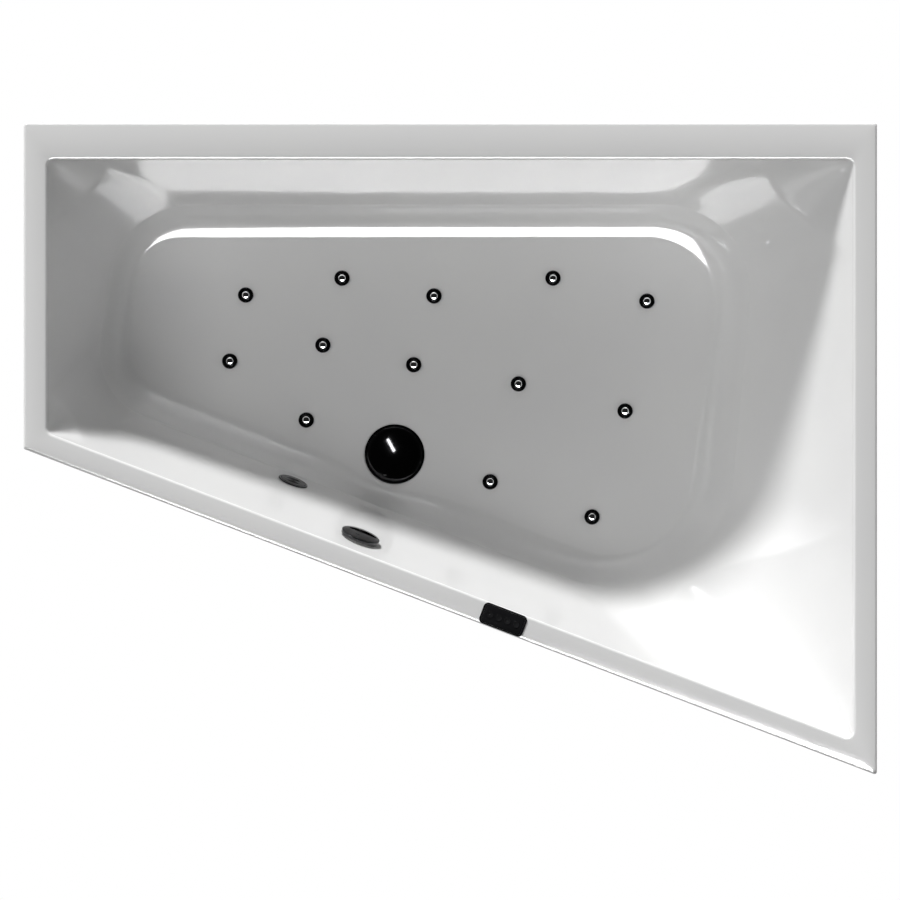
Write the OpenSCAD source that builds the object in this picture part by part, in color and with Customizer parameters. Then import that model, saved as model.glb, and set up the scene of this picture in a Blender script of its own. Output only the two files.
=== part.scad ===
// Jetted corner bathtub: a trapezium tub with thirteen air jets in its floor,
// standing on a steel frame that also carries the blower, the waste and the controls.
// Origin: the middle of the footprint, on the floor. +X runs along the long back edge,
// +Y towards the back wall and +Z up.

/* [Tub] */
// Length of the back edge
tub_length = 1700; // [1600:10:1900]
// Depth of the wide right-hand end
wide_end = 1300; // [1200:10:1400]
// Depth of the narrow left-hand end
narrow_end = 650; // [600:10:800]
// Height of the rim above the floor
rim_height = 600; // [580:5:640]
// Height of the well's floor above the ground
well_floor = 160; // [158:1:165]
// Thickness of the acrylic sheet
sheet = 5; // [4:0.5:6]
// Thickness of the fibreglass layer
fibreglass = 3; // [2:0.5:4]

/* [Rim] */
// Width of the rim along the back wall
rim_back = 74; // [70:1:90]
// Width of the rim at both ends
rim_side = 48; // [46:1:60]
// Width of the rim along the slanted front
rim_front = 48; // [46:1:60]
// Drop of the rim's outer flange
flange_drop = 42; // [35:1:50]
// Rounding of the rim's edges
rim_round = 6; // [5.5:0.5:8]

/* [Well] */
// Height of the curve between the walls and the floor
cove_height = 70; // [60:1:80]
// Recess round the waste
sump_depth = 2; // [1:0.5:2.5]

/* [Jets] */
// Diameter of a jet's cap
jet_cap_d = 33; // [28:1:36]
// Diameter of a jet's threaded body
jet_body_d = 24; // [20:1:25]
// Outer diameter of the air hose
hose_d = 16; // [14:1:18]

/* [Waste and overflow] */
// Diameter of the waste's cover
plug_d = 116; // [100:1:118]
// Lift of the waste's cover
plug_lift = 10; // [6:1:12]
// Diameter of the waste outlet pipe
outlet_d = 50; // [40:1:50]
// Diameter of the overflow's turning knob
knob_d = 80; // [60:1:84]
// Height of the knob above the wall
knob_h = 17; // [14:1:22]

/* [Light] */
// Diameter of the underwater light's bezel
light_d = 64; // [56:1:70]

/* [Control panel] */
// Length of the panel
panel_length = 92; // [88:1:110]
// Width of the panel
panel_width = 44; // [42:1:45]
// Travel of a button
button_travel = 0.8; // [0.4:0.1:1]

/* [Frame] */
// Width of the square steel tube
rail = 30; // [25:1:30]
// Width of the upright tube
post = 25; // [20:1:26]
// Wall of the steel tubes
tube_wall = 2; // [1.5:0.5:3]
// Height of the rails' underside
rail_height = 105; // [100:1:108]
// Travel of an adjustable foot
foot_travel = 25; // [10:1:25]
// Diameter of a foot's pad
foot_pad_d = 42; // [36:1:43]

/* [Hidden] */
$fn = 48;

// Clearances shared by the whole model
fit = 0.3;      // between fixed pieces that face each other
running = 0.05; // between a shaft and its bore
overrun = 1;    // how far a cut passes its wall

// Plan of the tub, anticlockwise from the front left corner
half_l = tub_length / 2;
half_w = wide_end / 2;
front_left_y = half_w - narrow_end;
front_slope = (wide_end - narrow_end) / tub_length;
front_angle = atan(front_slope);
outer_quad = [[-half_l, front_left_y], [half_l, -half_w], [half_l, half_w], [-half_l, half_w]];
outer_corner = 5;
inner_corner = 14;

floor_z = well_floor;
cove_z = floor_z + cove_height;
lip_z = rim_height - rim_round;

// The well's outline where its walls meet the cove, and the floor's outline: shares of half_l and half_w
cove_shares = [[-0.891, 0.169], [0.667, -0.609], [0.767, 0.794], [-0.82, 0.794]];
floor_shares = [[-0.816, 0.2415], [0.566, -0.449], [0.698, 0.692], [-0.779, 0.692]];
cove_front_y = (cove_shares[1][0] - cove_shares[0][0]) * half_l * front_slope + cove_shares[1][1] * half_w;
cove_quad = concat([[cove_shares[0][0] * half_l, cove_front_y]],
    [for (j = [1:3]) [cove_shares[j][0] * half_l, cove_shares[j][1] * half_w]]);
floor_quad = [for (s = floor_shares) [s[0] * half_l, s[1] * half_w]];

// Corner radii, in the same order, as shares of half_w
rim_radius_shares = [0.17, 0.46, 0.308, 0.185];
cove_radius_shares = [0.231, 0.4, 0.285, 0.27];
floor_radius_shares = [0.131, 0.262, 0.231, 0.131];
rim_radii = rim_radius_shares * half_w;
cove_radii = cove_radius_shares * half_w;
floor_radii = floor_radius_shares * half_w;

// How far down the wall each corner's sloping shoulder reaches, and the narrow lip beside it
shoulder_shares = [0.26, 0.84, 0.34, 0.29];
lip_share = 0.03;

arc_steps = 12;
side_steps = 1;
steps = arc_steps + side_steps;
count = 4 * steps;

function lerp(a, b, t) = a + (b - a) * t;
function unit(v) = v / norm(v);
function cross2(a, b) = a[0] * b[1] - a[1] * b[0];

// A straight-sided outline moved inwards, each side by its own distance: front, right, back, left
function side_normal(q, j) = let (d = unit(q[(j + 1) % 4] - q[j])) [-d[1], d[0]];
function meet(p, u, q, v) = p + u * (cross2(q - p, v) / cross2(u, v));
function inset_quad(q, d) = [for (j = [0:3]) let (k = (j + 3) % 4)
    meet(q[k] + side_normal(q, k) * d[k], q[j] - q[k], q[j] + side_normal(q, j) * d[j],
        q[(j + 1) % 4] - q[j])];

rim_quad = inset_quad(outer_quad, [rim_front, rim_side, rim_back, rim_side]);

// Rounded corner j of outline q: centre, first angle and turn
function corner(q, r, j) =
    let (v = q[j], u = unit(q[(j + 3) % 4] - v), w = unit(q[(j + 1) % 4] - v),
         half = acos(u * w) / 2,
         centre = v + unit(u + w) * (r / sin(half)),
         first = v + u * (r / tan(half)) - centre)
    [centre, atan2(first[1], first[0]), 180 - 2 * half];
function arc_point(q, r, j, t) =
    let (c = corner(q, r, j), a = c[1] + c[2] * t) c[0] + r * [cos(a), sin(a)];
function outline_point(q, radii, i) =
    let (j = floor(i / steps), s = i % steps, k = (j + 1) % 4)
    s <= arc_steps ? arc_point(q, radii[j], j, s / arc_steps)
                   : lerp(arc_point(q, radii[j], j, 1), arc_point(q, radii[k], k, 0),
                          (s - arc_steps) / side_steps);
function outline_normal(q, radii, i) =
    let (j = floor(i / steps), s = min(i % steps, arc_steps), c = corner(q, radii[j], j),
         a = c[1] + c[2] * s / arc_steps)
    [cos(a), sin(a)];
function outline(q, radii) = [for (i = [0:count - 1]) outline_point(q, radii, i)];
function even(r) = [r, r, r, r];

// A point of the well's wall: f runs from 0 at the rim to 1 at the cove, and past 1 below it
function wall_point(i, f) =
    let (p = outline_point(lerp(rim_quad, cove_quad, f), lerp(rim_radii, cove_radii, f), i))
    [p[0], p[1], lerp(lip_z, cove_z, f)];
function shoulder(i) =
    let (j = floor(i / steps), s = i % steps)
    lip_share + (s <= arc_steps ? (shoulder_shares[j] - lip_share) * pow(sin(180 * s / arc_steps), 1.3) : 0);
function at_height(p, z) = [p[0], p[1], z];
function bezier(a, b, c, t) = a * pow(1 - t, 2) + b * 2 * t * (1 - t) + c * pow(t, 2);
past_cove = (lip_z - floor_z) / (lip_z - cove_z);

wall_stops = [0, 0.5, 1];
cove_stops = [0.2, 0.4, 0.6, 0.8, 1];
function cove_point(i, t) =
    bezier(wall_point(i, 1), wall_point(i, past_cove),
           at_height(outline_point(floor_quad, floor_radii, i), floor_z), t);
// The well's surface at station i, from under the lip down to the floor's edge
function well_line(i) =
    let (top = at_height(outline_point(rim_quad, even(inner_corner), i), lip_z), f = shoulder(i))
    concat([top], [for (t = wall_stops) wall_point(i, lerp(f, 1, t))],
           [for (t = cove_stops) cove_point(i, t)]);
// The same line moved out through the wall by d
function backed_line(i, d) =
    let (p = well_line(i), n = outline_normal(cove_quad, cove_radii, i), last = len(p) - 1)
    [for (k = [0:last])
        let (a = p[max(k - 1, 0)], b = p[min(k + 1, last)],
             run = k == last ? 1 : -(b - a) * [n[0], n[1], 0], fall = k == last ? 0 : a[2] - b[2],
             size = norm([run, fall]))
        p[k] + d * [n[0] * fall / size, n[1] * fall / size, -run / size]];

rim_steps = [0, 30, 60, 90];
// The rim at station i: up the flange, over its edge and across to the lip
function rim_line(i) = concat(
    [at_height(outline_point(outer_quad, even(outer_corner), i), rim_height - flange_drop)],
    [for (a = rim_steps) let (c = rim_round * (1 - cos(a)))
        at_height(outline_point(inset_quad(outer_quad, even(c)), even(outer_corner), i),
                  lip_z + rim_round * sin(a))],
    [for (a = [90, 60, 30]) let (c = rim_round * (1 - cos(a)))
        at_height(outline_point(inset_quad(rim_quad, even(-c)), even(inner_corner + c), i),
                  lip_z + rim_round * sin(a))]);
function under_rim_line(i) = [
    at_height(outline_point(inset_quad(outer_quad, even(sheet)), even(outer_corner), i),
        rim_height - flange_drop),
    at_height(outline_point(inset_quad(outer_quad, even(sheet)), even(outer_corner), i),
        rim_height - sheet),
    at_height(outline_point(inset_quad(rim_quad, even(-sheet)), even(inner_corner + sheet), i),
        rim_height - sheet)];

// A closed solid from lines of points, one for each station: each line starts in the middle
// of one face and ends in the middle of the other
module lofted(lines) {
    rows = len(lines[0]);
    polyhedron(
        points = [for (l = lines) each l],
        faces = concat(
            [for (i = [0:count - 1]) for (k = [0:rows - 2])
                each let (a = i * rows + k, b = ((i + 1) % count) * rows + k)
                    [[a, b + 1, b], [a, a + 1, b + 1]]],
            [[for (i = [0:count - 1]) i * rows]],
            [[for (i = [count - 1:-1:0]) i * rows + rows - 1]]),
        convexity = 6);
}

// A straight-sided or rounded plate in the plan
module plan_plate(q, radii, z, h) {
    translate([0, 0, z]) linear_extrude(height = h) polygon(outline(q, radii));
}

// Places on the slanted front: s is the X of a point of the outer edge, off the distance
// from that edge towards the bath
front_inward = [sin(front_angle), cos(front_angle)];
function front_point(s, off, z) =
    let (y = -half_w + (half_l - s) * front_slope)
    [s + front_inward[0] * off, y + front_inward[1] * off, z];
// Tilt of the front wall from upright, and how far it stands in from the edge at a height
function front_reach(q) = abs(cross2(q[1] - q[0], outer_quad[0] - q[0])) / norm(q[1] - q[0]);
wall_tilt = atan((front_reach(cove_quad) - rim_front) / (lip_z - cove_z));
function wall_off(z) = rim_front + (lip_z - z) * tan(wall_tilt);
// Puts a child on the front wall, its Z pointing square into the bath and its Y up the wall
module on_front_wall(s, z) {
    translate(front_point(s, wall_off(z), z)) rotate([0, 0, -front_angle]) rotate([wall_tilt - 90, 0, 0])
        rotate([0, 0, 180]) children();
}

// A round tube along straight runs joined by bends of one radius
module bent_rod(path, r, bend) {
    last = len(path) - 1;
    turns = [for (k = [0:last]) k == 0 || k == last ? 0
        : acos(max(-1, min(1, unit(path[k] - path[k - 1]) * unit(path[k + 1] - path[k]))))];
    trims = [for (t = turns) bend * tan(t / 2)];
    for (k = [0:last - 1]) {
        d = unit(path[k + 1] - path[k]);
        a = path[k] + d * trims[k];
        run = norm(path[k + 1] - path[k]) - trims[k] - trims[k + 1];
        translate(a) rotate([0, acos(d[2]), atan2(d[1], d[0])]) cylinder(h = run, r = r);
    }
    for (k = [1:last - 1]) {
        d = unit(path[k] - path[k - 1]);
        e = unit(path[k + 1] - path[k]);
        inward = unit(e - d * (e * d));
        centre = path[k] - d * trims[k] + inward * bend;
        w = cross(-inward, d);
        multmatrix([[-inward[0], d[0], w[0], centre[0]], [-inward[1], d[1], w[1], centre[1]],
                    [-inward[2], d[2], w[2], centre[2]], [0, 0, 0, 1]])
            rotate_extrude(angle = turns[k]) translate([bend, 0]) circle(r = r);
    }
}
// A path with its corners rounded: each entry is a point and the direction there
function rounded(path, bend, n) = let (last = len(path) - 1) concat(
    [[path[0], unit(path[1] - path[0])]],
    [for (k = [1:last - 1]) let (d = unit(path[k] - path[k - 1]), e = unit(path[k + 1] - path[k]),
        turn = acos(max(-1, min(1, d * e))), inward = unit(e - d * (e * d)),
        centre = path[k] - d * bend * tan(turn / 2) + inward * bend)
        for (m = [0:n]) let (a = turn * m / n)
            [centre + bend * (d * sin(a) - inward * cos(a)), d * cos(a) + inward * sin(a)]],
    [[path[last], unit(path[last] - path[last - 1])]]);
function carried(line, k, n) = k >= len(line) ? []
    : let (t = line[k][1], m = unit(n - t * (n * t))) concat([m], carried(line, k + 1, m));
function ring(at, t, n, r, sides) = let (b = cross(t, n))
    [for (i = [0:sides - 1]) let (a = i * 360 / sides) at + r * (n * cos(a) + b * sin(a))];
// A smooth bent tube, or a solid cord where its bore is 0
module swept(path, r, bore, bend, sides) {
    line = rounded(path, bend, 5);
    t = line[0][1];
    normals = carried(line, 0, abs(t[2]) < 0.9 ? [0, 0, 1] : [1, 0, 0]);
    last = len(line) - 1;
    rings = concat([for (k = [0:last]) ring(line[k][0], line[k][1], normals[k], r, sides)],
        bore > 0 ? [for (k = [last:-1:0]) ring(line[k][0], line[k][1], normals[k],
            bore / cos(180 / sides), sides)] : []);
    rows = len(rings);
    polyhedron(
        points = [for (q = rings) each q],
        faces = concat(
            [for (k = [0:rows - (bore > 0 ? 1 : 2)]) for (i = [0:sides - 1])
                each let (a = k * sides, b = ((k + 1) % rows) * sides, j = (i + 1) % sides)
                    [[a + i, b + i, b + j], [a + i, b + j, a + j]]],
            bore > 0 ? [] : [for (i = [1:sides - 2]) [0, i, i + 1]],
            bore > 0 ? [] : [for (i = [1:sides - 2]) [(rows - 1) * sides, (rows - 1) * sides + i + 1,
                                                      (rows - 1) * sides + i]]),
        convexity = 4);
}
module rod_between(a, b, r) {
    d = b - a;
    translate(a) rotate([0, acos(d[2] / norm(d)), atan2(d[1], d[0])]) cylinder(h = norm(d), r = r);
}

// Shell and backing
layer = sheet + fit + fibreglass;
under_floor = floor_z - layer;
shell_waste_d = 56;
sump_d = plug_d + 18;
jet_hole_d = jet_body_d + 2 * fit;
drain_shares = [-0.14, -0.017];
drain_at = [drain_shares[0] * half_l, drain_shares[1] * half_w, 0];
jet_shares = [[-0.514, 0.506], [-0.272, 0.5615], [-0.041, 0.503], [0.258, 0.5615], [0.494, 0.486],
    [-0.554, 0.289], [-0.32, 0.3415], [-0.092, 0.277], [0.171, 0.214], [0.439, 0.125],
    [-0.362, 0.0954], [0.1, -0.1077], [0.356, -0.223]];
jets = [for (s = jet_shares) [s[0] * half_l, s[1] * half_w, 0]];
overflow_s = -0.245 * half_l;
overflow_z = rim_height - 85;
overflow_hole_d = 46;
light_s = -0.4385 * half_l;
light_rise = 130;
light_z = floor_z + light_rise;
light_body_d = 44;
panel_s = 0.1135 * half_l;
panel_off = rim_front / 2;
panel_hole = [panel_length - 16, panel_width - 16];

// Puts children at the panel's place on the rim, X along the front edge
module at_panel(z) {
    translate(front_point(panel_s, panel_off, z)) rotate([0, 0, -front_angle]) children();
}
module well_holes(extra) {
    for (j = jets) translate([j[0], j[1], under_floor - overrun])
        cylinder(h = layer + 2 * overrun, d = jet_hole_d + extra);
    translate(drain_at) translate([0, 0, under_floor - overrun])
        cylinder(h = layer + 2 * overrun, d = shell_waste_d + extra);
    on_front_wall(overflow_s, overflow_z) translate([0, 0, -2 * layer])
        cylinder(h = 3 * layer, d = overflow_hole_d + extra);
    on_front_wall(light_s, light_z) translate([0, 0, -2 * layer])
        cylinder(h = 3 * layer, d = light_body_d + 2 * fit + extra);
}
module tub_shell() {
    color("white") difference() {
        lofted([for (i = [0:count - 1]) let (b = backed_line(i, sheet), n = len(b))
            concat([for (k = [n - 1:-1:1]) b[k]], [under_rim_line(i)[2]],
                [under_rim_line(i)[1], under_rim_line(i)[0]],
                   rim_line(i), well_line(i))]);
        well_holes(0);
        translate(drain_at) translate([0, 0, floor_z - sump_depth]) cylinder(h = 2 * sheet, d = sump_d);
        at_panel(rim_height - sheet) translate([-panel_hole[0] / 2, -panel_hole[1] / 2, -overrun])
            cube([panel_hole[0], panel_hole[1], sheet + 2 * overrun]);
    }
}
backing_gap = 3 * fit;
module fibreglass_backing() {
    color("tan") difference() {
        lofted([for (i = [0:count - 1]) let (a = backed_line(i, layer),
            b = backed_line(i, sheet + backing_gap), n = len(a))
            concat([for (k = [n - 1:-1:1]) a[k]], [for (k = [1:n - 1]) b[k]])]);
        well_holes(2);
    }
}

// Base board and frame
board_edge = 22;
board_h = rail_height + rail;
board_t = under_floor - board_h;
jet_board_hole = 52;
drain_board_hole = 124;
bolt_d = 6;
bolt_head = [13, 5];
bolt_bite = 12;
frame_edge = 7;
rail_line = frame_edge + rail / 2;
batten_t = 20;
batten_z = rim_height - sheet - batten_t;
cross_shares = [-0.453, 0.0235, 0.565];
cross_x = [for (s = cross_shares) s * half_l];
bolt_shares = [[-0.453, 0.415], [-0.453, 0.254], [0.0235, 0.615], [0.0235, 0.08], [0.565, 0.31],
    [0.565, -0.06]];
bolts = [for (s = bolt_shares) [s[0] * half_l, s[1] * half_w, 0]];
stud_d = 12;
nut_d = 24;
nut_h = 12;
foot_5 = [cross_x[1], 0.385 * half_w, 0];
foot_line = inset_quad(outer_quad, even(rail_line));
feet = [for (j = [0:4]) j < 4 ? [foot_line[j][0], foot_line[j][1], 0] : foot_5];

module base_board() {
    color("burlywood") difference() {
        plan_plate(inset_quad(floor_quad, even(board_edge)), floor_radii, board_h, board_t);
        for (j = jets) translate([j[0], j[1], board_h - overrun])
            cylinder(h = board_t + 2 * overrun, d = jet_board_hole);
        translate(drain_at) translate([0, 0, board_h - overrun])
            cylinder(h = board_t + 2 * overrun, d = drain_board_hole);
        for (b = bolts) translate([b[0], b[1], board_h - overrun])
            cylinder(h = bolt_bite + overrun, d = bolt_d + 2 * fit);
    }
}
module ring_plate(outer, inner, z, h) {
    difference() {
        plan_plate(inset_quad(outer_quad, even(outer)), even(outer_corner), z, h);
        plan_plate(inset_quad(outer_quad, even(inner)), even(outer_corner), z - overrun, h + 2 * overrun);
    }
}
module rim_battens() {
    color("burlywood") difference() {
        ring_plate(frame_edge, frame_edge + rail, batten_z, batten_t);
        at_panel(batten_z) translate([-panel_length / 2, -rail, -overrun])
            cube([panel_length, 2 * rail, batten_t + 2 * overrun]);
    }
}
// A square tube along side j of the outline, its middle rail_line in from the edge
module side_tube(j, solid) {
    cut = solid ? -fit : 0;
    a = foot_line[j];
    b = foot_line[(j + 1) % 4];
    d = unit(b - a);
    translate([a[0], a[1], rail_height]) rotate([0, 0, atan2(d[1], d[0])])
        translate([-rail * 2, -rail / 2, 0]) difference() {
            translate([0, cut, solid ? -overrun : 0])
                cube([norm(b - a) + 4 * rail, rail - 2 * cut, rail + (solid ? 2 * overrun : 0)]);
            if (!solid) translate([-overrun, tube_wall, tube_wall])
                cube([norm(b - a) + 4 * rail + 2 * overrun, rail - 2 * tube_wall, rail - 2 * tube_wall]);
        }
}
module foot_holes() {
    for (f = feet) translate([f[0], f[1], rail_height - nut_h - overrun])
        cylinder(h = nut_h + tube_wall + 2 * overrun, d = stud_d + 2 * running);
}
module foot_nut(f) {
    translate([f[0], f[1], rail_height - nut_h]) cylinder(h = nut_h + tube_wall / 2, d = nut_d, $fn = 6);
}
module perimeter_rails() {
    color("silver") difference() {
        intersection() {
            union() {
                side_tube(0, false);
                side_tube(2, false);
                difference() {
                    union() {
                        side_tube(1, false);
                        side_tube(3, false);
                    }
                    side_tube(0, true);
                    side_tube(2, true);
                }
                for (n = [0:3]) foot_nut(feet[n]);
            }
            plan_plate(inset_quad(outer_quad, even(frame_edge)), even(outer_corner),
                       rail_height - nut_h, rail + nut_h);
        }
        foot_holes();
    }
}
module cross_rails() {
    color("silver") difference() {
        union() {
            intersection() {
                for (x = cross_x) translate([x - rail / 2, -half_w, rail_height]) difference() {
                    cube([rail, wide_end, rail]);
                    translate([tube_wall, -overrun, tube_wall])
                        cube([rail - 2 * tube_wall, wide_end + 2 * overrun, rail - 2 * tube_wall]);
                }
                plan_plate(inset_quad(outer_quad, even(frame_edge + rail)), even(outer_corner),
                    rail_height, rail);
            }
            foot_nut(feet[4]);
        }
        foot_holes();
        for (b = bolts) translate([b[0], b[1], rail_height - overrun])
            cylinder(h = rail + 2 * overrun, d = bolt_d + 2 * fit);
    }
}
back_posts = [-0.6 * half_l, 0.6 * half_l];
right_post_y = 0.63 * half_w;
front_posts = [-0.53 * half_l, 0.42 * half_l];
post_z = rail_height + rail;
module post_tube() {
    translate([-post / 2, -post / 2, post_z]) difference() {
        cube([post, post, batten_z - post_z]);
        translate([tube_wall, tube_wall, -overrun])
            cube([post - 2 * tube_wall, post - 2 * tube_wall, batten_z - post_z + 2 * overrun]);
    }
}
module rim_posts() {
    color("silver") {
        for (n = [0:3]) translate([feet[n][0], feet[n][1], 0]) post_tube();
        for (x = back_posts) translate([x, half_w - rail_line, 0]) post_tube();
        translate([half_l - rail_line, right_post_y, 0]) post_tube();
        for (s = front_posts)
            translate(front_point(s, rail_line, 0)) rotate([0, 0, -front_angle]) post_tube();
    }
}
module frame_bolts() {
    color("gray") for (b = bolts) translate([b[0], b[1], 0]) {
        translate([0, 0, rail_height - bolt_head[1]]) cylinder(h = bolt_head[1], d = bolt_head[0], $fn = 6);
        translate([0, 0, rail_height]) cylinder(h = rail + bolt_bite - fit, d = bolt_d);
    }
}
// Feet
pad_h = 8;
pad_boss = [22, 14];
stud_seat = 5;
stud_top = rail_height + rail - 2 * tube_wall;
stud_hex = [22, 8];
module foot_pad(n) {
    color("dimgray") translate([feet[n - 1][0], feet[n - 1][1], 0]) difference() {
        union() {
            cylinder(h = pad_h, d = foot_pad_d);
            cylinder(h = pad_boss[1], d = pad_boss[0]);
        }
        translate([0, 0, stud_seat]) cylinder(h = pad_boss[1], d = stud_d + 2 * running);
    }
}
module foot_stud(n) {
    color("silver") translate([feet[n - 1][0], feet[n - 1][1], 0]) {
        translate([0, 0, stud_seat + running]) cylinder(h = stud_top - stud_seat - running, d = stud_d);
        translate([0, 0, pad_boss[1] + fit]) cylinder(h = stud_hex[1], d = stud_hex[0], $fn = 6);
    }
}
// Jets and their air hoses
hose_z = 93;
hose_bore_d = hose_d - 4;
cap_rim = 2.5;
cap_flange = [30, 2];
cap_dome_d = 17;
cap_groove = 1.2;
cap_stem_d = 9;
cap_stem = 14;
jet_wall = 3;
jet_foot_d = 27;
barb_reach = 30;
barb_wall = 2;
hose_start = 17;
jet_nut = [40, 8];
jet_gasket_h = 2;
nut_top = under_floor - jet_gasket_h;
// Pairs of jets that a hose joins, and the three row ends that reach the manifold
links = [[0, 1], [1, 2], [2, 3], [3, 4], [5, 6], [6, 7], [7, 8], [8, 9], [6, 10], [11, 12]];
row_ends = [4, 9, 12];
manifold_x = 0.876 * half_l;
manifold_d = 36;
manifold_wall = 3;
manifold_low = jets[12][1] - manifold_d;
manifold_high = jets[4][1] + manifold_d;
function hose_level(p) = [p[0], p[1], hose_z];
function manifold_end(n) = [manifold_x, jets[row_ends[n]][1], hose_z];
runs = concat([for (l = links) [hose_level(jets[l[0]]), hose_level(jets[l[1]])]],
    [for (n = [0:2]) [hose_level(jets[row_ends[n]]), manifold_end(n)]]);

module jet_caps() {
    color("silver") for (j = jets) translate([j[0], j[1], floor_z + cap_flange[1] + fit]) {
        rotate_extrude() difference() {
            union() {
                polygon([[0, 0], [jet_cap_d / 2, 0], [jet_cap_d / 2, cap_rim / 2],
                         [jet_cap_d / 2 - cap_rim / 2, cap_rim], [0, cap_rim]]);
                translate([0, cap_rim]) polygon([[0, 0], [cap_dome_d / 2, 0],
                         [cap_dome_d / 2 - cap_rim, cap_rim], [0, cap_rim * 1.4]]);
            }
            translate([cap_dome_d / 2, cap_rim - cap_groove]) square([cap_groove, cap_rim]);
        }
        translate([0, 0, -cap_stem]) cylinder(h = cap_stem + cap_rim / 2, d = cap_stem_d);
    }
}
module jet_body(j, ends) {
    top = floor_z + cap_flange[1];
    difference() {
        union() {
            translate([j[0], j[1], floor_z]) cylinder(h = cap_flange[1], d = cap_flange[0]);
            translate([j[0], j[1], hose_z - hose_d / 2]) cylinder(h = top - hose_z + hose_d / 2,
                d = jet_body_d);
            translate([j[0], j[1], hose_z - hose_d / 2 - overrun]) cylinder(h = hose_d + 2 * overrun,
                d = jet_foot_d);
            for (e = ends) rod_between(hose_level(j), hose_level(j) + unit(e - hose_level(j)) * barb_reach,
                                       hose_bore_d / 2);
        }
        translate([j[0], j[1], hose_z - hose_d / 2 + jet_wall])
            cylinder(h = top - hose_z - 2 * jet_wall - cap_stem + hose_d / 2,
                d = jet_body_d - 2 * jet_wall);
        translate([j[0], j[1], hose_z]) cylinder(h = top - hose_z + overrun, d = cap_stem_d + 2 * running);
        for (e = ends) rod_between(hose_level(j),
            hose_level(j) + unit(e - hose_level(j)) * (barb_reach + overrun),
                                   hose_bore_d / 2 - barb_wall);
    }
}
module jet_bodies() {
    color("dimgray") for (n = [0:len(jets) - 1])
        jet_body(jets[n], concat([for (r = runs) if (norm(r[0] - hose_level(jets[n])) < overrun) r[1]],
                                 [for (r = runs) if (norm(r[1] - hose_level(jets[n])) < overrun) r[0]]));
}
module jet_gaskets() {
    color("black") for (j = jets) translate([j[0], j[1], nut_top]) difference() {
        cylinder(h = jet_gasket_h, d = jet_nut[0]);
        translate([0, 0, -overrun]) cylinder(h = jet_gasket_h + 2 * overrun, d = jet_body_d + 2 * fit);
    }
}
module jet_nuts() {
    color("gray") for (j = jets) translate([j[0], j[1], nut_top - jet_nut[1]]) difference() {
        cylinder(h = jet_nut[1], d = jet_nut[0], $fn = 8);
        translate([0, 0, -overrun]) cylinder(h = jet_nut[1] + 2 * overrun, d = jet_body_d + 2 * running);
    }
}
module air_hoses() {
    color("lightgray") for (r = runs) {
        d = unit(r[1] - r[0]);
        a = r[0] + d * hose_start;
        b = r[1] - d * (r[1][0] == manifold_x ? manifold_d / 2 + fit : hose_start);
        difference() {
            rod_between(a, b, hose_d / 2);
            rod_between(a - d * overrun, b + d * overrun, hose_bore_d / 2 + running);
        }
    }
}
module air_manifold() {
    spigot = manifold_d / 2 + barb_reach / 2;
    color("dimgray") difference() {
        union() {
            rod_between([manifold_x, manifold_low, hose_z], [manifold_x, manifold_high, hose_z],
                manifold_d / 2);
            for (n = [0:2]) rod_between(manifold_end(n), manifold_end(n) - [spigot, 0, 0], hose_bore_d / 2);
            rod_between([manifold_x, loop_y[1], hose_z],
                [manifold_x, loop_y[1], hose_z + spigot + barb_reach],
                        supply_bore_d / 2);
        }
        rod_between([manifold_x, manifold_low + manifold_wall, hose_z],
                    [manifold_x, manifold_high - manifold_wall, hose_z], manifold_d / 2 - manifold_wall);
        for (n = [0:2]) rod_between(manifold_end(n), manifold_end(n) - [spigot + overrun, 0, 0],
                                    hose_bore_d / 2 - barb_wall);
        rod_between([manifold_x, loop_y[1], hose_z],
                    [manifold_x, loop_y[1], hose_z + spigot + barb_reach + overrun],
                    supply_bore_d / 2 - barb_wall);
    }
    // Steel straps that hang the manifold from the right rail
    color("silver") for (y = strap_y) translate([manifold_x, y - strap_w / 2, hose_z]) {
        half = manifold_d / 2 - strap_bite;
        translate([-half - strap_t, 0, -half - strap_t]) cube([strap_t, strap_w, half + strap_t]);
        translate([-half - strap_t, 0, -half - strap_t]) cube([2 * (half + strap_t), strap_w, strap_t]);
        translate([half, 0, -half - strap_t])
            cube([strap_t, strap_w, rail_height - hose_z + half + strap_t]);
        translate([half, 0, rail_height - hose_z - strap_t])
            cube([half_l - rail_line - manifold_x - half, strap_w, strap_t]);
    }
}
strap_t = 3;
strap_w = 20;
strap_bite = 0.5;
strap_y = [-0.03 * half_w, 0.37 * half_w];

// Blower, check valve and supply hose
supply_d = 34;
supply_bore_d = supply_d - 6;
loop_y = [-0.26 * half_w, 0.06 * half_w];
loop_under = 205;
loop_z = rim_height - loop_under;
loop_bend = 45;
valve_y = (loop_y[0] + loop_y[1]) / 2;
valve_d = 44;
valve_bore_d = 36;
valve_half = 24;
valve_spigot = 18;
seat_bore_d = 22;
seat_t = 3;
flap_d = 27;
flap_t = 2;
flap_pin_d = 3;
flap_pin_up = 14.5;
flap_pin_l = 29;
blower_x = 0.8 * half_l;
blower_y = -0.615 * half_w;
tray_half = 95;
tray_y = [blower_y - tray_half, blower_y + tray_half];
tray_t = 3;
mount_h = 14;
mount_d = 18;
mount_out = 54;
blower_z = post_z + tray_t + mount_h;
volute_d = 150;
volute_h = 46;
volute_wall = 3;
inlet_d = 56;
cover_d = 116;
cover_h = 92;
outlet_x = manifold_x;
outlet_y = blower_y + tray_half;
outlet_z = blower_z + volute_h / 2;
shaft_d = 8;
wheel_d = 124;
wheel_t = 3;
blade_h = 22;
blade_count = 12;
hub_d = 22;
rotor_d = 40;
rotor_h = 36;
stator_d = 76;
stator_floor = 4;
wheel_z = blower_z + volute_wall + 6;
stator_z = blower_z + volute_h;
rotor_z = stator_z + stator_floor + 8;
shaft_top = rotor_z + rotor_h + 12;

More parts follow.
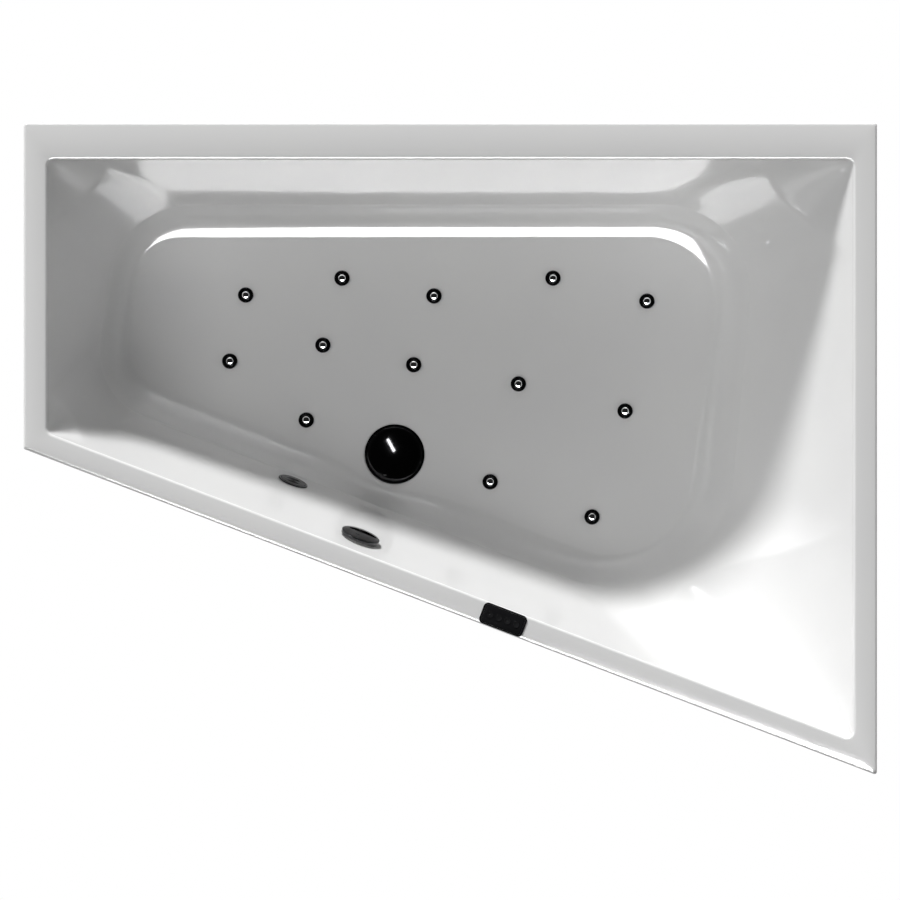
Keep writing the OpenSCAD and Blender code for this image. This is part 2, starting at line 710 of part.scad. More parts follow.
module supply_hose() {
    up = [[outlet_x, outlet_y + overrun, outlet_z], [outlet_x, loop_y[0], outlet_z],
          [outlet_x, loop_y[0], loop_z], [outlet_x, valve_y - valve_half - fit, loop_z]];
    down = [[outlet_x, valve_y + valve_half + fit, loop_z], [outlet_x, loop_y[1], loop_z],
            [outlet_x, loop_y[1], hose_z + manifold_d / 2 + fit]];
    color("lightgray") {
        difference() {
            bent_rod(up, supply_d / 2, loop_bend);
            hose_core(up);
        }
        difference() {
            bent_rod(down, supply_d / 2, loop_bend);
            hose_core(down);
        }
    }
}
// The bore of a hose, run past both of its ends
module hose_core(path) {
    n = len(path) - 1;
    a = path[0] - unit(path[1] - path[0]) * overrun;
    b = path[n] + unit(path[n] - path[n - 1]) * overrun;
    bent_rod([for (k = [0:n]) k == 0 ? a : k == n ? b : path[k]], supply_bore_d / 2 + running, loop_bend);
}
module along_y(x, z) {
    translate([x, 0, z]) rotate([-90, 0, 0]) children();
}
module check_valve() {
    color("dimgray") difference() {
        union() {
            along_y(outlet_x, loop_z) {
                translate([0, 0, valve_y - valve_half]) cylinder(h = 2 * valve_half, d = valve_d);
                translate([0, 0, valve_y - valve_half - valve_spigot])
                    cylinder(h = 2 * (valve_half + valve_spigot), d = supply_bore_d);
            }
        }
        along_y(outlet_x, loop_z) {
            translate([0, 0, valve_y - valve_half - valve_spigot - overrun])
                cylinder(h = 2 * (valve_half + valve_spigot + overrun), d = seat_bore_d);
            translate([0, 0, valve_y - valve_half + seat_t]) cylinder(h = 2 * (valve_half - seat_t),
                d = valve_bore_d);
        }
        translate([outlet_x - flap_pin_l / 2 - running, flap_y, loop_z + flap_pin_up]) rotate([0, 90, 0])
            cylinder(h = flap_pin_l + 2 * running, d = flap_pin_d + 2 * running);
    }
}
flap_y = valve_y - valve_half + seat_t + flap_t / 2 + flap_pin_d / 2;
module valve_flap() {
    color("black") {
        translate([outlet_x - flap_pin_l / 2, flap_y, loop_z + flap_pin_up]) rotate([0, 90, 0])
            cylinder(h = flap_pin_l, d = flap_pin_d);
        along_y(outlet_x, loop_z) translate([0, 0, valve_y - valve_half + seat_t + fit])
            cylinder(h = flap_y + flap_t / 2 - valve_y + valve_half - seat_t - fit, d = flap_d);
    }
}
module blower_tray() {
    x0 = cross_x[2] - rail / 2;
    color("silver") difference() {
        translate([x0, tray_y[0], post_z]) cube([half_l - frame_edge - x0, tray_y[1] - tray_y[0], tray_t]);
        translate([blower_x, blower_y, post_z - overrun]) cylinder(h = tray_t + 2 * overrun, d = inlet_d);
    }
}
module at_blower(z) {
    translate([blower_x, blower_y, z]) children();
}
module blower_mounts() {
    color("black") at_blower(post_z + tray_t) for (a = [45:90:315]) rotate([0, 0, a])
        translate([mount_out, 0, 0]) cylinder(h = mount_h, d = mount_d);
}
module blower_base() {
    color("dimgray") difference() {
        union() {
            at_blower(blower_z) cylinder(h = volute_h, d = volute_d);
            along_y(outlet_x, outlet_z) translate([0, 0, blower_y]) {
                cylinder(h = outlet_y - blower_y - fit, d = supply_d);
                cylinder(h = outlet_y - blower_y + barb_reach, d = supply_bore_d);
            }
        }
        at_blower(blower_z + volute_wall) cylinder(h = volute_h - 2 * volute_wall,
            d = volute_d - 2 * volute_wall);
        at_blower(blower_z - overrun) cylinder(h = volute_wall + 2 * overrun, d = inlet_d);
        at_blower(blower_z + volute_h - 2 * volute_wall)
            cylinder(h = 2 * volute_wall + overrun, d = hub_d + 2 * volute_wall);
        along_y(outlet_x, outlet_z) translate([0, 0, blower_y])
            cylinder(h = outlet_y - blower_y + barb_reach + overrun, d = supply_bore_d - 2 * barb_wall);
    }
}
module blower_cover() {
    color("dimgray") difference() {
        at_blower(blower_z + volute_h) {
            cylinder(h = cover_h, d = cover_d);
            cylinder(h = volute_wall, d = volute_d - 2 * volute_wall);
        }
        at_blower(blower_z + volute_h - overrun)
            cylinder(h = cover_h - volute_wall + overrun, d = cover_d - 2 * volute_wall);
        at_blower(blower_z + volute_h + cover_h * 0.55) for (a = [0:30:150]) rotate([0, 0, a])
            translate([-cover_d, -volute_wall, 0]) cube([2 * cover_d, 2 * volute_wall, cover_h * 0.25]);
    }
}
module blower_stator() {
    color("chocolate") difference() {
        at_blower(stator_z) {
            cylinder(h = stator_floor, d = cover_d - 2 * volute_wall - 2 * fit);
            cylinder(h = shaft_top - stator_z + stator_floor, d = stator_d);
        }
        at_blower(stator_z + stator_floor) cylinder(h = rotor_h + 16, d = rotor_d + 2);
        at_blower(stator_z - overrun) cylinder(h = shaft_top - stator_z + overrun + fit,
            d = shaft_d + 2 * running);
    }
}
module blower_impeller() {
    color("black") at_blower(0) {
        translate([0, 0, wheel_z]) cylinder(h = wheel_t, d = wheel_d);
        translate([0, 0, wheel_z]) cylinder(h = blade_h, d = hub_d);
        for (n = [0:blade_count - 1]) rotate([0, 0, n * 360 / blade_count])
            translate([inlet_d / 2, -wheel_t / 2, wheel_z])
                cube([wheel_d / 2 - inlet_d / 2 - wheel_t, wheel_t, blade_h]);
        translate([0, 0, wheel_z]) cylinder(h = shaft_top - wheel_z, d = shaft_d);
        translate([0, 0, rotor_z]) cylinder(h = rotor_h, d = rotor_d);
    }
}

// Waste: flange, body, lifting cover and its lever. u points from the overflow towards the bath
drain_ring = [plug_d + 12, 2];
hub_d2 = 52;
hub_bore = 44;
hub_low = 140;
waste_flange = [96, 4];
waste_gasket_h = 2;
waste_top = under_floor - waste_gasket_h;
waste_d = 68;
waste_wall = 4;
waste_low = 95;
dip_d = 40;
dip_low = 45;
dip_wall = 3;
guide = [16, 6];
guide_z = 130;
arm_w = 4;
stem_d = 8;
plug_h = 9;
seal_d = 84;
seal_h = 2;
pivot_u = 18;
pivot_z = 112;
pivot_d = 5;
lever_t = 4;
lever_w = 7;
crank_v = 36;
crank_l = 15;
lever_swing = asin(plug_lift / 2 / pivot_u);
stem_low = pivot_z - (pivot_u - stem_d / 2) * tan(lever_swing) + lever_t / 2 / cos(lever_swing) + fit;
pipe_z = 115;
pipe_d = 32;
pipe_bore_d = 26;
stub_reach = 60;
tab = [4, 46, 9];
cable_d = 6;
wheel_of_twelve = [0:30:330];

// Puts a child at the waste, its Y pointing from the overflow to the bath's middle
module at_waste(z) {
    translate([drain_at[0], drain_at[1], z]) rotate([0, 0, -front_angle]) children();
}
module drain_flange() {
    color("silver") difference() {
        at_waste(0) {
            translate([0, 0, floor_z - sump_depth]) rotate_extrude() polygon([[0, 0],
                [drain_ring[0] / 2, 0],
                [drain_ring[0] / 2 - drain_ring[1], drain_ring[1]], [0, drain_ring[1]]]);
            translate([0, 0, hub_low]) cylinder(h = floor_z - sump_depth - hub_low + overrun, d = hub_d2);
        }
        at_waste(hub_low - overrun) cylinder(h = floor_z - hub_low + 2 * overrun, d = hub_bore);
    }
}
module drain_gasket() {
    color("black") at_waste(waste_top) difference() {
        cylinder(h = waste_gasket_h, d = waste_flange[0]);
        translate([0, 0, -overrun]) cylinder(h = waste_gasket_h + 2 * overrun, d = hub_d2 + 2);
    }
}
module drain_body() {
    color("dimgray") at_waste(0) {
        difference() {
            union() {
                translate([0, 0, waste_top - waste_flange[1]]) cylinder(h = waste_flange[1],
                    d = waste_flange[0]);
                translate([0, 0, waste_low]) cylinder(h = waste_top - waste_low, d = waste_d);
                translate([0, 0, dip_low]) cylinder(h = waste_low - dip_low + overrun, d = dip_d);
                translate([0, 0, pipe_z]) rotate([90, 0, 0])
                    cylinder(h = stub_reach + pipe_d / 3, d = pipe_bore_d - 2 * running);
                translate([0, 0, pipe_z]) rotate([90, 0, 0]) cylinder(h = stub_reach - fit, d = pipe_d);
                translate([0, -waste_d / 2 - tab[0] / 2, waste_low]) cube([tab[1], tab[0], tab[2]]);
            }
            translate([0, 0, waste_low + waste_wall])
                cylinder(h = hub_low - waste_low - waste_wall - overrun, d = waste_d - 2 * waste_wall);
            translate([0, 0, hub_low - 2 * overrun])
                cylinder(h = waste_top - hub_low + 3 * overrun, d = hub_d2 + 2 * running);
            translate([0, 0, dip_low - overrun])
                cylinder(h = waste_low - dip_low + waste_wall + 2 * overrun, d = dip_d - 2 * dip_wall);
            translate([0, 0, pipe_z]) rotate([90, 0, 0])
                cylinder(h = stub_reach + pipe_d, d = pipe_bore_d - 2 * waste_wall);
            translate([-waste_d, -pivot_u, pivot_z]) rotate([0, 90, 0])
                cylinder(h = 2 * waste_d, d = pivot_d + 2 * running);
            translate([crank_v + lever_t / 2, 0, pivot_z - crank_l]) rotate([90, 0, 0])
                cylinder(h = waste_d, d = cable_d + 2 * running);
        }
        // Spider that guides the cover's stem
        translate([0, 0, guide_z]) difference() {
            union() {
                cylinder(h = guide[1], d = guide[0]);
                for (a = [90:120:330]) rotate([0, 0, a]) translate([0, -arm_w / 2, 0])
                    cube([waste_d / 2 - waste_wall / 2, arm_w, guide[1]]);
            }
            translate([0, 0, -overrun]) cylinder(h = guide[1] + 2 * overrun, d = stem_d + 2 * running);
        }
    }
}
module drain_plug() {
    color("silver") at_waste(0) {
        translate([0, 0, floor_z + seal_h]) rotate_extrude() difference() {
            intersection() {
                translate([0, plug_h - plug_dome_r]) circle(r = plug_dome_r, $fn = 240);
                square([plug_d / 2, plug_h]);
            }
            square([plug_d / 2 - 2 * sheet, plug_h / 3]);
        }
        translate([0, 0, stem_low]) cylinder(h = floor_z + seal_h + plug_h / 2 - stem_low, d = stem_d);
    }
}
plug_edge = 3.5;
plug_dome_r = (pow(plug_d / 2, 2) + pow(plug_h - plug_edge, 2)) / (2 * (plug_h - plug_edge));
module plug_seal() {
    color("black") at_waste(floor_z) difference() {
        cylinder(h = seal_h + plug_h / 3, d = seal_d);
        translate([0, 0, -overrun]) cylinder(h = seal_h + plug_h, d = stem_d + fit);
    }
}
module lift_lever() {
    color("silver") at_waste(0) {
        translate([-waste_d / 2 + waste_wall, -pivot_u, pivot_z]) rotate([0, 90, 0])
            cylinder(h = waste_d / 2 - waste_wall + crank_v + lever_t, d = pivot_d);
        translate([0, -pivot_u, pivot_z]) rotate([-lever_swing, 0, 0])
            translate([-lever_w / 2, 0, -lever_t / 2]) cube([lever_w, pivot_u + lever_t / 2, lever_t]);
        translate([crank_v, -pivot_u - lever_w / 2, pivot_z - crank_l]) cube([lever_t, lever_w, crank_l]);
    }
}
trap_d = 96;
trap_wall = 3;
trap_low = 24;
trap_cap_h = 13;
mouth_d = 72;
outlet_level = 56;
outlet_reach = 165;
outlet_collar = [65, outlet_d + 12];
module trap_body() {
    color("whitesmoke") at_waste(0) difference() {
        union() {
            translate([0, 0, trap_low]) cylinder(h = waste_low - trap_low, d = trap_d);
            translate([0, 0, trap_low - trap_cap_h + trap_wall]) cylinder(h = trap_cap_h, d = mouth_d);
            rotate([0, 0, front_angle]) translate([0, 0, outlet_level]) rotate([-90, 0, 0])
                cylinder(h = outlet_reach, d = outlet_d);
            rotate([0, 0, front_angle]) translate([0, 0, outlet_level]) rotate([-90, 0, 0])
                cylinder(h = outlet_collar[0], d = outlet_collar[1]);
        }
        translate([0, 0, trap_low + trap_wall]) cylinder(h = waste_low - trap_low - 2 * trap_wall,
            d = trap_d - 2 * trap_wall);
        translate([0, 0, trap_low - trap_cap_h]) cylinder(h = 2 * trap_cap_h, d = mouth_d - 2 * trap_wall);
        translate([0, 0, waste_low - 2 * trap_wall]) cylinder(h = 3 * trap_wall, d = dip_d + 2 * fit);
        rotate([0, 0, front_angle]) translate([0, 0, outlet_level]) rotate([-90, 0, 0])
            cylinder(h = outlet_reach + overrun, d = outlet_d - 2 * trap_wall);
    }
}
module trap_cap() {
    color("gray") at_waste(trap_low - trap_cap_h - trap_wall) difference() {
        cylinder(h = trap_cap_h + trap_wall - fit, d = mouth_d + 2 * trap_wall, $fn = 96);
        translate([0, 0, trap_wall * 2]) cylinder(h = trap_cap_h, d = mouth_d + 2 * running);
        translate([0, 0, trap_wall]) cylinder(h = trap_cap_h, d = mouth_d - 2 * trap_wall);
    }
}

// Overflow with its turning knob
bezel_t = 2.5;
over_face_d = 62;
over_hub_d = overflow_hole_d - 2 * fit;
over_gasket = [66, 2];
over_flange_t = 4;
over_box_d = 60;
over_depth = 43;
over_line = 27;
over_wall = 3;
over_low = 34;
spindle_d = 10;
spindle_in = 36;
knob_gap = 2;
knob_edge = 5;
knob_dome_r = (pow(knob_d / 2, 2) + pow(knob_edge, 2)) / (2 * knob_edge);
module overflow_knob() {
    color("silver") on_front_wall(overflow_s, overflow_z) {
        difference() {
            translate([0, 0, bezel_t + knob_gap]) rotate_extrude() intersection() {
                translate([0, knob_h - bezel_t - knob_gap - knob_dome_r]) circle(r = knob_dome_r, $fn = 240);
                square([knob_d / 2, knob_h]);
            }
            translate([0, 0, -overrun]) difference() {
                cylinder(h = knob_h - 2 * knob_edge + overrun + fit, d = knob_d - 2 * over_wall);
                cylinder(h = knob_h, d = 2 * spindle_d);
            }
        }
        translate([0, 0, -spindle_in]) cylinder(h = spindle_in + knob_h - knob_edge, d = spindle_d);
    }
}
module overflow_body() {
    color("silver") on_front_wall(overflow_s, overflow_z) difference() {
        union() {
            cylinder(h = bezel_t, d = over_face_d);
            translate([0, 0, -layer - over_gasket[1] - overrun])
                cylinder(h = layer + over_gasket[1] + 2 * overrun, d = over_hub_d);
            translate([0, 0, -layer - over_gasket[1] - over_flange_t]) cylinder(h = over_flange_t,
                d = over_gasket[0]);
            translate([0, 0, -over_depth])
                cylinder(h = over_depth - layer - over_gasket[1] - overrun, d = over_box_d);
            translate([0, 0, -over_line]) rotate([90, 0, 0]) cylinder(h = over_low, d = pipe_d);
            translate([0, 0, -over_line]) rotate([90, 0, 0])
                cylinder(h = over_low + pipe_d / 2, d = pipe_bore_d - 2 * running);
            translate([0, 0, -over_line]) rotate([0, -90, 0])
                cylinder(h = crank_v + lever_t / 2 + cable_d, d = 2 * cable_d);
        }
        translate([0, 0, -over_depth + over_wall])
            cylinder(h = over_depth - layer - over_gasket[1] - over_wall - over_flange_t,
                d = over_box_d - 2 * over_wall);
        // Water passages round the spindle
        for (a = [0:60:300]) rotate([0, 0, a]) translate([over_hub_d / 3, 0,
            -layer - over_gasket[1] - 2 * over_flange_t])
            cylinder(h = layer + over_depth, d = spindle_d - over_wall);
        translate([0, 0, -over_line]) rotate([90, 0, 0])
            cylinder(h = over_low + pipe_d, d = pipe_bore_d - 2 * over_wall);
        translate([0, 0, -spindle_in - fit]) cylinder(h = spindle_in + over_depth,
            d = spindle_d + 2 * running);
    }
}
module overflow_gasket() {
    color("black") on_front_wall(overflow_s, overflow_z)
        translate([0, 0, -layer - over_gasket[1]]) difference() {
        cylinder(h = over_gasket[1], d = over_gasket[0]);
        translate([0, 0, -overrun]) cylinder(h = over_gasket[1] + 2 * overrun, d = over_hub_d + fit);
    }
}
// A point behind the front wall: along it from the overflow, down it, and square back from it
function behind_wall(s, z, along, down, back) = front_point(s + along * cos(front_angle),
    wall_off(z) + down * sin(wall_tilt) - back * cos(wall_tilt),
        z - down * cos(wall_tilt) - back * sin(wall_tilt));
function waste_point(v, u, z) = [drain_at[0] + cos(front_angle) * v + sin(front_angle) * u,
    drain_at[1] - sin(front_angle) * v + cos(front_angle) * u, z];
function fall_to(level) = (overflow_z - over_line * sin(wall_tilt) - level) / cos(wall_tilt);
module overflow_pipe() {
    color("whitesmoke") swept([behind_wall(overflow_s, overflow_z, 0, over_low + fit, over_line),
        behind_wall(overflow_s, overflow_z, 0, fall_to(pipe_z), over_line),
        waste_point(0, -stub_reach, pipe_z)], pipe_d / 2, pipe_bore_d / 2, 40, 20);
}
module bowden_cable() {
    v = crank_v + lever_t / 2;
    level = pivot_z - crank_l;
    color("black") swept([behind_wall(overflow_s, overflow_z, v, cable_d, over_line),
        behind_wall(overflow_s, overflow_z, v, fall_to(level), over_line),
        waste_point(v, -waste_d / 2, level)], cable_d / 2, 0, 30, 12);
}

// Underwater light
lens_d = 54;
lens_h = 3.5;
light_t = 3;
light_depth = 48;
light_neck = 5;
light_nut = [60, 8];
light_wall = 3;
module light_bezel() {
    color("silver") on_front_wall(light_s, light_z) difference() {
        cylinder(h = light_t, d = light_d);
        translate([0, 0, -overrun]) cylinder(h = light_t + 2 * overrun, d = lens_d + 2 * fit);
    }
}
module light_lens() {
    color("slategray") on_front_wall(light_s, light_z) {
        cylinder(h = lens_h, d = lens_d);
        translate([0, 0, -light_neck]) cylinder(h = light_neck + overrun, d = light_body_d);
    }
}
module light_housing() {
    color("dimgray") on_front_wall(light_s, light_z) difference() {
        union() {
            translate([0, 0, -light_depth]) cylinder(h = light_depth - light_neck, d = light_body_d);
            translate([0, 0, -layer - light_nut[1]]) cylinder(h = light_nut[1], d = light_nut[0], $fn = 12);
        }
        translate([0, 0, -light_depth + light_wall])
            cylinder(h = light_depth - light_wall, d = light_body_d - 2 * light_wall);
    }
}

// Control panel on the rim
face_margin = [4.5, 3.5];
panel_round = 10;
bezel_h = 2;
face_h = 2.6;
panel_depth = 24;
button_d = 13;
button_gap = 18.5;
button_play = 0.1;
button_low = 4;
button_top = 3.4;
panel_wall = 2;
module rounded_plate(size, r, h) {
    for (x = [r - size[0] / 2, size[0] / 2 - r], y = [r - size[1] / 2, size[1] / 2 - r])
        translate([x, y, 0]) cylinder(h = h, r = r);
    translate([-size[0] / 2 + r, -size[1] / 2, 0]) cube([size[0] - 2 * r, size[1], h]);
    translate([-size[0] / 2, -size[1] / 2 + r, 0]) cube([size[0], size[1] - 2 * r, h]);
}
face_size = [panel_length - 2 * face_margin[0], panel_width - 2 * face_margin[1]];
module panel_bezel() {
    color("silver") at_panel(rim_height) difference() {
        rounded_plate([panel_length, panel_width], panel_round, bezel_h);
        translate([0, 0, -overrun]) rounded_plate([face_size[0] + 2 * fit, face_size[1] + 2 * fit],
            panel_round - face_margin[1] + fit, bezel_h + 2 * overrun);
    }
}
function button_x(n) = (n - 2.5) * button_gap;
module panel_base() {
    body = [panel_hole[0] - 2, panel_hole[1] - 2];
    color("black") at_panel(rim_height) difference() {
        union() {
            rounded_plate(face_size, panel_round - face_margin[1], face_h);
            translate([-body[0] / 2, -body[1] / 2, -panel_depth])
                cube([body[0], body[1], panel_depth + overrun]);
        }
        for (n = [1:4]) translate([button_x(n), 0, -button_low - button_travel - fit])
            cylinder(h = panel_depth, d = button_d + 2 * button_play);
        translate([-body[0] / 2 + panel_wall, -body[1] / 2 + panel_wall, -panel_depth - overrun])
            cube([body[0] - 2 * panel_wall, body[1] - 2 * panel_wall, panel_depth * 0.6]);
    }
}
module button(n) {
    color("dimgray") at_panel(rim_height) translate([button_x(n), 0, -button_low])
        cylinder(h = button_low + button_top, d = button_d);
}

// Control box, cables and wall brackets
box_size = [52, 160, 120];
lid_t = 8;
box_wall = 3;
box_x = half_l - rail_line - post / 2 - box_size[0];
box_y = right_post_y - box_size[1] / 2;
box_z = 250;
screw = [8, 3];
screw_in = 10;
gland = [20, 15];
gland_bore = 9;
gland_y = 0.78 * box_size[1];
gland_x = box_size[0] / 2;
module control_box() {
    color("gainsboro") translate([box_x, box_y, box_z]) {
        difference() {
            cube(box_size);
            translate([-overrun, box_wall, box_wall])
                cube([box_size[0] - box_wall + overrun, box_size[1] - 2 * box_wall,
                    box_size[2] - 2 * box_wall]);
            translate([gland_x, gland_y, -overrun]) cylinder(h = box_wall + 2 * overrun, d = gland_bore);
        }
        translate([gland_x, gland_y, -gland[1]]) difference() {
            cylinder(h = gland[1], d = gland[0]);
            translate([0, 0, -overrun]) cylinder(h = gland[1] + 2 * overrun, d = gland_bore);
        }
    }
}
module control_box_lid() {
    color("gainsboro") translate([box_x - lid_t, box_y, box_z]) {
        cube([lid_t, box_size[1], box_size[2]]);
        for (y = [screw_in, box_size[1] - screw_in], z = [screw_in, box_size[2] - screw_in])
            translate([-screw[1], y, z]) rotate([0, 90, 0]) cylinder(h = screw[1] + overrun, d = screw[0]);
    }
}
wire_d = 5;
light_wire_d = 6;
wire_off = 41;
wire_bend = 12;
low_wire_z = post_z + tray_t + light_wire_d / 2 + 2 * fit;
wire_drop = 48;
wire_rise = 28;
wire_sides = 12;
light_run = 75;
high_wire_z = rim_height - wire_drop;
wire_y = box_y + 0.25 * box_size[1];
low_wire_x = box_x + 0.7 * box_size[0];
high_wire_x = half_l - wire_off;
function front_at(x, off, z) = front_point(x - sin(front_angle) * off, off, z);
module light_cable() {
    light_back = wall_off(light_z) - light_run * cos(wall_tilt);
    color("black") swept([behind_wall(light_s, light_z, 0, 0, light_depth),
        behind_wall(light_s, light_z, 0, 0, light_run),
        front_point(light_s, light_back, low_wire_z), front_at(low_wire_x, light_back, low_wire_z),
        [low_wire_x, wire_y, low_wire_z], [low_wire_x, wire_y, box_z]],
        light_wire_d / 2, 0, wire_bend, wire_sides);
}
module power_cables() {
    over_blower = stator_z + cover_h + wire_rise;
    color("black") {
        swept([front_point(panel_s, rim_front * 0.75, rim_height - panel_depth),
                  front_point(panel_s, rim_front * 0.75, high_wire_z),
                  front_at(high_wire_x, wire_off, high_wire_z),
                  [high_wire_x, wire_y, high_wire_z], [high_wire_x, wire_y, box_z + box_size[2]]],
                 wire_d / 2, 0, wire_bend, wire_sides);
        swept([[blower_x, blower_y, stator_z + cover_h], [blower_x, blower_y, over_blower],
                  [box_x + box_size[0] / 2, blower_y, over_blower],
                  [box_x + box_size[0] / 2, box_y, over_blower]], wire_d / 2, 0, wire_bend, wire_sides);
    }
}
bracket = [40, 60];
bracket_under = 120;
bracket_z = rim_height - bracket_under;
bracket_t = 3;
bracket_hole = 7;
module wall_brackets() {
    depth = rail_line - post / 2;
    color("silver") for (x = back_posts)
        translate([x - bracket[0] / 2, half_w - depth, bracket_z]) difference() {
        cube([bracket[0], depth, bracket[1]]);
        translate([bracket_t, bracket_t, -overrun])
            cube([bracket[0] - 2 * bracket_t, depth - 2 * bracket_t, bracket[1] + 2 * overrun]);
        for (z = [bracket[1] / 4, bracket[1] * 0.75]) translate([bracket[0] / 2, bracket_t * 1.5, z])
            rotate([-90, 0, 0]) cylinder(h = depth, d = bracket_hole);
    }
}

tub_shell();
fibreglass_backing();
base_board();
rim_battens();
perimeter_rails();
cross_rails();
rim_posts();
frame_bolts();
foot_pad(1);  // foot_pad_1
foot_pad(2);  // foot_pad_2
foot_pad(3);  // foot_pad_3
foot_pad(4);  // foot_pad_4
foot_pad(5);  // foot_pad_5
foot_stud(1);  // foot_stud_1
foot_stud(2);  // foot_stud_2
foot_stud(3);  // foot_stud_3
foot_stud(4);  // foot_stud_4
foot_stud(5);  // foot_stud_5
jet_caps();
jet_bodies();
jet_gaskets();
jet_nuts();
air_hoses();
air_manifold();
supply_hose();
check_valve();
valve_flap();
blower_tray();
blower_mounts();
blower_base();
blower_cover();
blower_stator();
blower_impeller();
drain_flange();
drain_gasket();
drain_body();
drain_plug();
plug_seal();
lift_lever();
trap_body();
trap_cap();
overflow_knob();
overflow_body();
overflow_gasket();
overflow_pipe();
bowden_cable();
light_bezel();
light_lens();
light_housing();
panel_bezel();
panel_base();
button(1);  // button_1
button(2);  // button_2
button(3);  // button_3
button(4);  // button_4
control_box();
control_box_lid();
light_cable();
power_cables();
wall_brackets();
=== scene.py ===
"""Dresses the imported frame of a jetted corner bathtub: smooth acrylic, chrome fittings and the works below."""

import math

import bmesh
import bpy
from bpy.props import FloatProperty, FloatVectorProperty, IntProperty, PointerProperty
from mathutils import Matrix, Vector
from mathutils.geometry import delaunay_2d_cdt


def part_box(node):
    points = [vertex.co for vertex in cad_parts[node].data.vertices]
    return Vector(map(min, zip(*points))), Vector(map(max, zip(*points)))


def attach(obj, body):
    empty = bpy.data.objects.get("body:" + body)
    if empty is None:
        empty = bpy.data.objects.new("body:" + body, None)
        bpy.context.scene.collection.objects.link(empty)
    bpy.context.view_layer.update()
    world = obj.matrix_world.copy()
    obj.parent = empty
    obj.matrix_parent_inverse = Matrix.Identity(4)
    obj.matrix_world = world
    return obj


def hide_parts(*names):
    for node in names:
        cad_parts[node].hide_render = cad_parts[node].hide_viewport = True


bl_info = {
    "name": "Jetted bathtub",
    "version": (1, 0, 0),
    "blender": (4, 5, 0),
    "location": "View3D > Sidebar > Bathtub",
    "description": "Builds the visible pieces of a jetted corner bathtub on its packed frame",
    "category": "Object",
}

MM = 0.001
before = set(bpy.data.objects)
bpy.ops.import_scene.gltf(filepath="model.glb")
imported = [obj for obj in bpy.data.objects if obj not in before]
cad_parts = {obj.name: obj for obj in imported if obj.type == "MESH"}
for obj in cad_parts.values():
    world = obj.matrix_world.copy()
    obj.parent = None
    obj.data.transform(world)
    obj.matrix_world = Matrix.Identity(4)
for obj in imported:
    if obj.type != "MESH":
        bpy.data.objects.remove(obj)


# Settings


def number(name, tip, default, **more):
    return FloatProperty(name=name, description=tip, default=default, **more)


def share(name, tip, default):
    return number(name, tip, default, subtype="FACTOR", min=0.0, max=1.0)


def angle(name, tip, degrees):
    return number(name, tip, math.radians(degrees), subtype="ANGLE")


def count(name, tip, default, least):
    return IntProperty(name=name, description=tip, default=default, min=least)


def colour(name, tip, default):
    return FloatVectorProperty(name=name, description=tip, default=default, subtype="COLOR", min=0.0, max=1.0)


class TubSettings(bpy.types.PropertyGroup):
    """Sizes of the tub in millimetres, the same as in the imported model."""

    length: number("Length", "Length of the straight back", 1700.0)
    wide_end: number("Wide end", "Width at the right end", 1300.0)
    narrow_end: number("Narrow end", "Width at the left end", 650.0)
    rim_height: number("Rim height", "From the ground to the rim", 600.0)
    well_depth: number("Well depth", "From the rim to the floor", 440.0)
    cove_height: number("Cove height", "From the floor to the walls", 70.0)
    rim_round: number("Rim rounding", "Radius of the rim's edges", 6.0)
    flange_drop: number("Flange drop", "Height of the rim's outer side", 42.0)
    sheet: number("Acrylic thickness", "Thickness of the acrylic", 5.0)
    arc_steps: count("Corner steps", "Stations round each corner", 30, 2)
    side_steps: count("Side steps", "Stations along each side", 16, 1)


class LookSettings(bpy.types.PropertyGroup):
    """Colours, light and camera, tuned against the photograph."""

    acrylic: colour("Acrylic", "Colour of the tub", (0.8, 0.8, 0.8))
    # The fittings' colour is a near-black chrome base: painted dark reflection, standing in for the dark surroundings
    # that bright chrome would mirror.
    fittings: colour("Fittings", "Colour of the dark chrome", (0.06, 0.06, 0.062))
    keypad: colour("Keypad", "Colour of the keypad's face", (0.01, 0.01, 0.011))
    key_power: number("Key light", "Strength of the sun over the back", 4.0)
    key_softness: angle("Key light's angle", "Width of that sun", 10)
    overhead_power: number("Light from above", "Strength of the sun above", 0.72)
    overhead_softness: angle("Angle from above", "Width of the sun above", 30)
    gloss_power: number("Gloss", "Panel that the cove mirrors", 640.0, unit="POWER")
    streak_power: number("Streak", "Lamp that the domes mirror", 12.0, unit="POWER")
    ambient: number("Room", "Strength of the room's walls", 0.45)
    above: share("Higher up", "Share of that above the walls", 0.08)
    zenith: share("Overhead", "Share of that straight above", 0.03)
    near: number("Left of the room", "Factor for the room's left side", 1.2)
    far: number("Right of the room", "Factor for the room's right side", 0.6)
    camera_height: number("Camera height", "Height of the camera over the rim", 6.0, unit="LENGTH")
    lens: number("Lens", "Focal length in mm", 120.6, unit="CAMERA")


# The well's shape


def unit(v):
    return v.normalized()


def lerp(a, b, t):
    return a + (b - a) * t


def bezier(a, b, c, t):
    return a * (1 - t) ** 2 + b * (2 * t * (1 - t)) + c * t**2


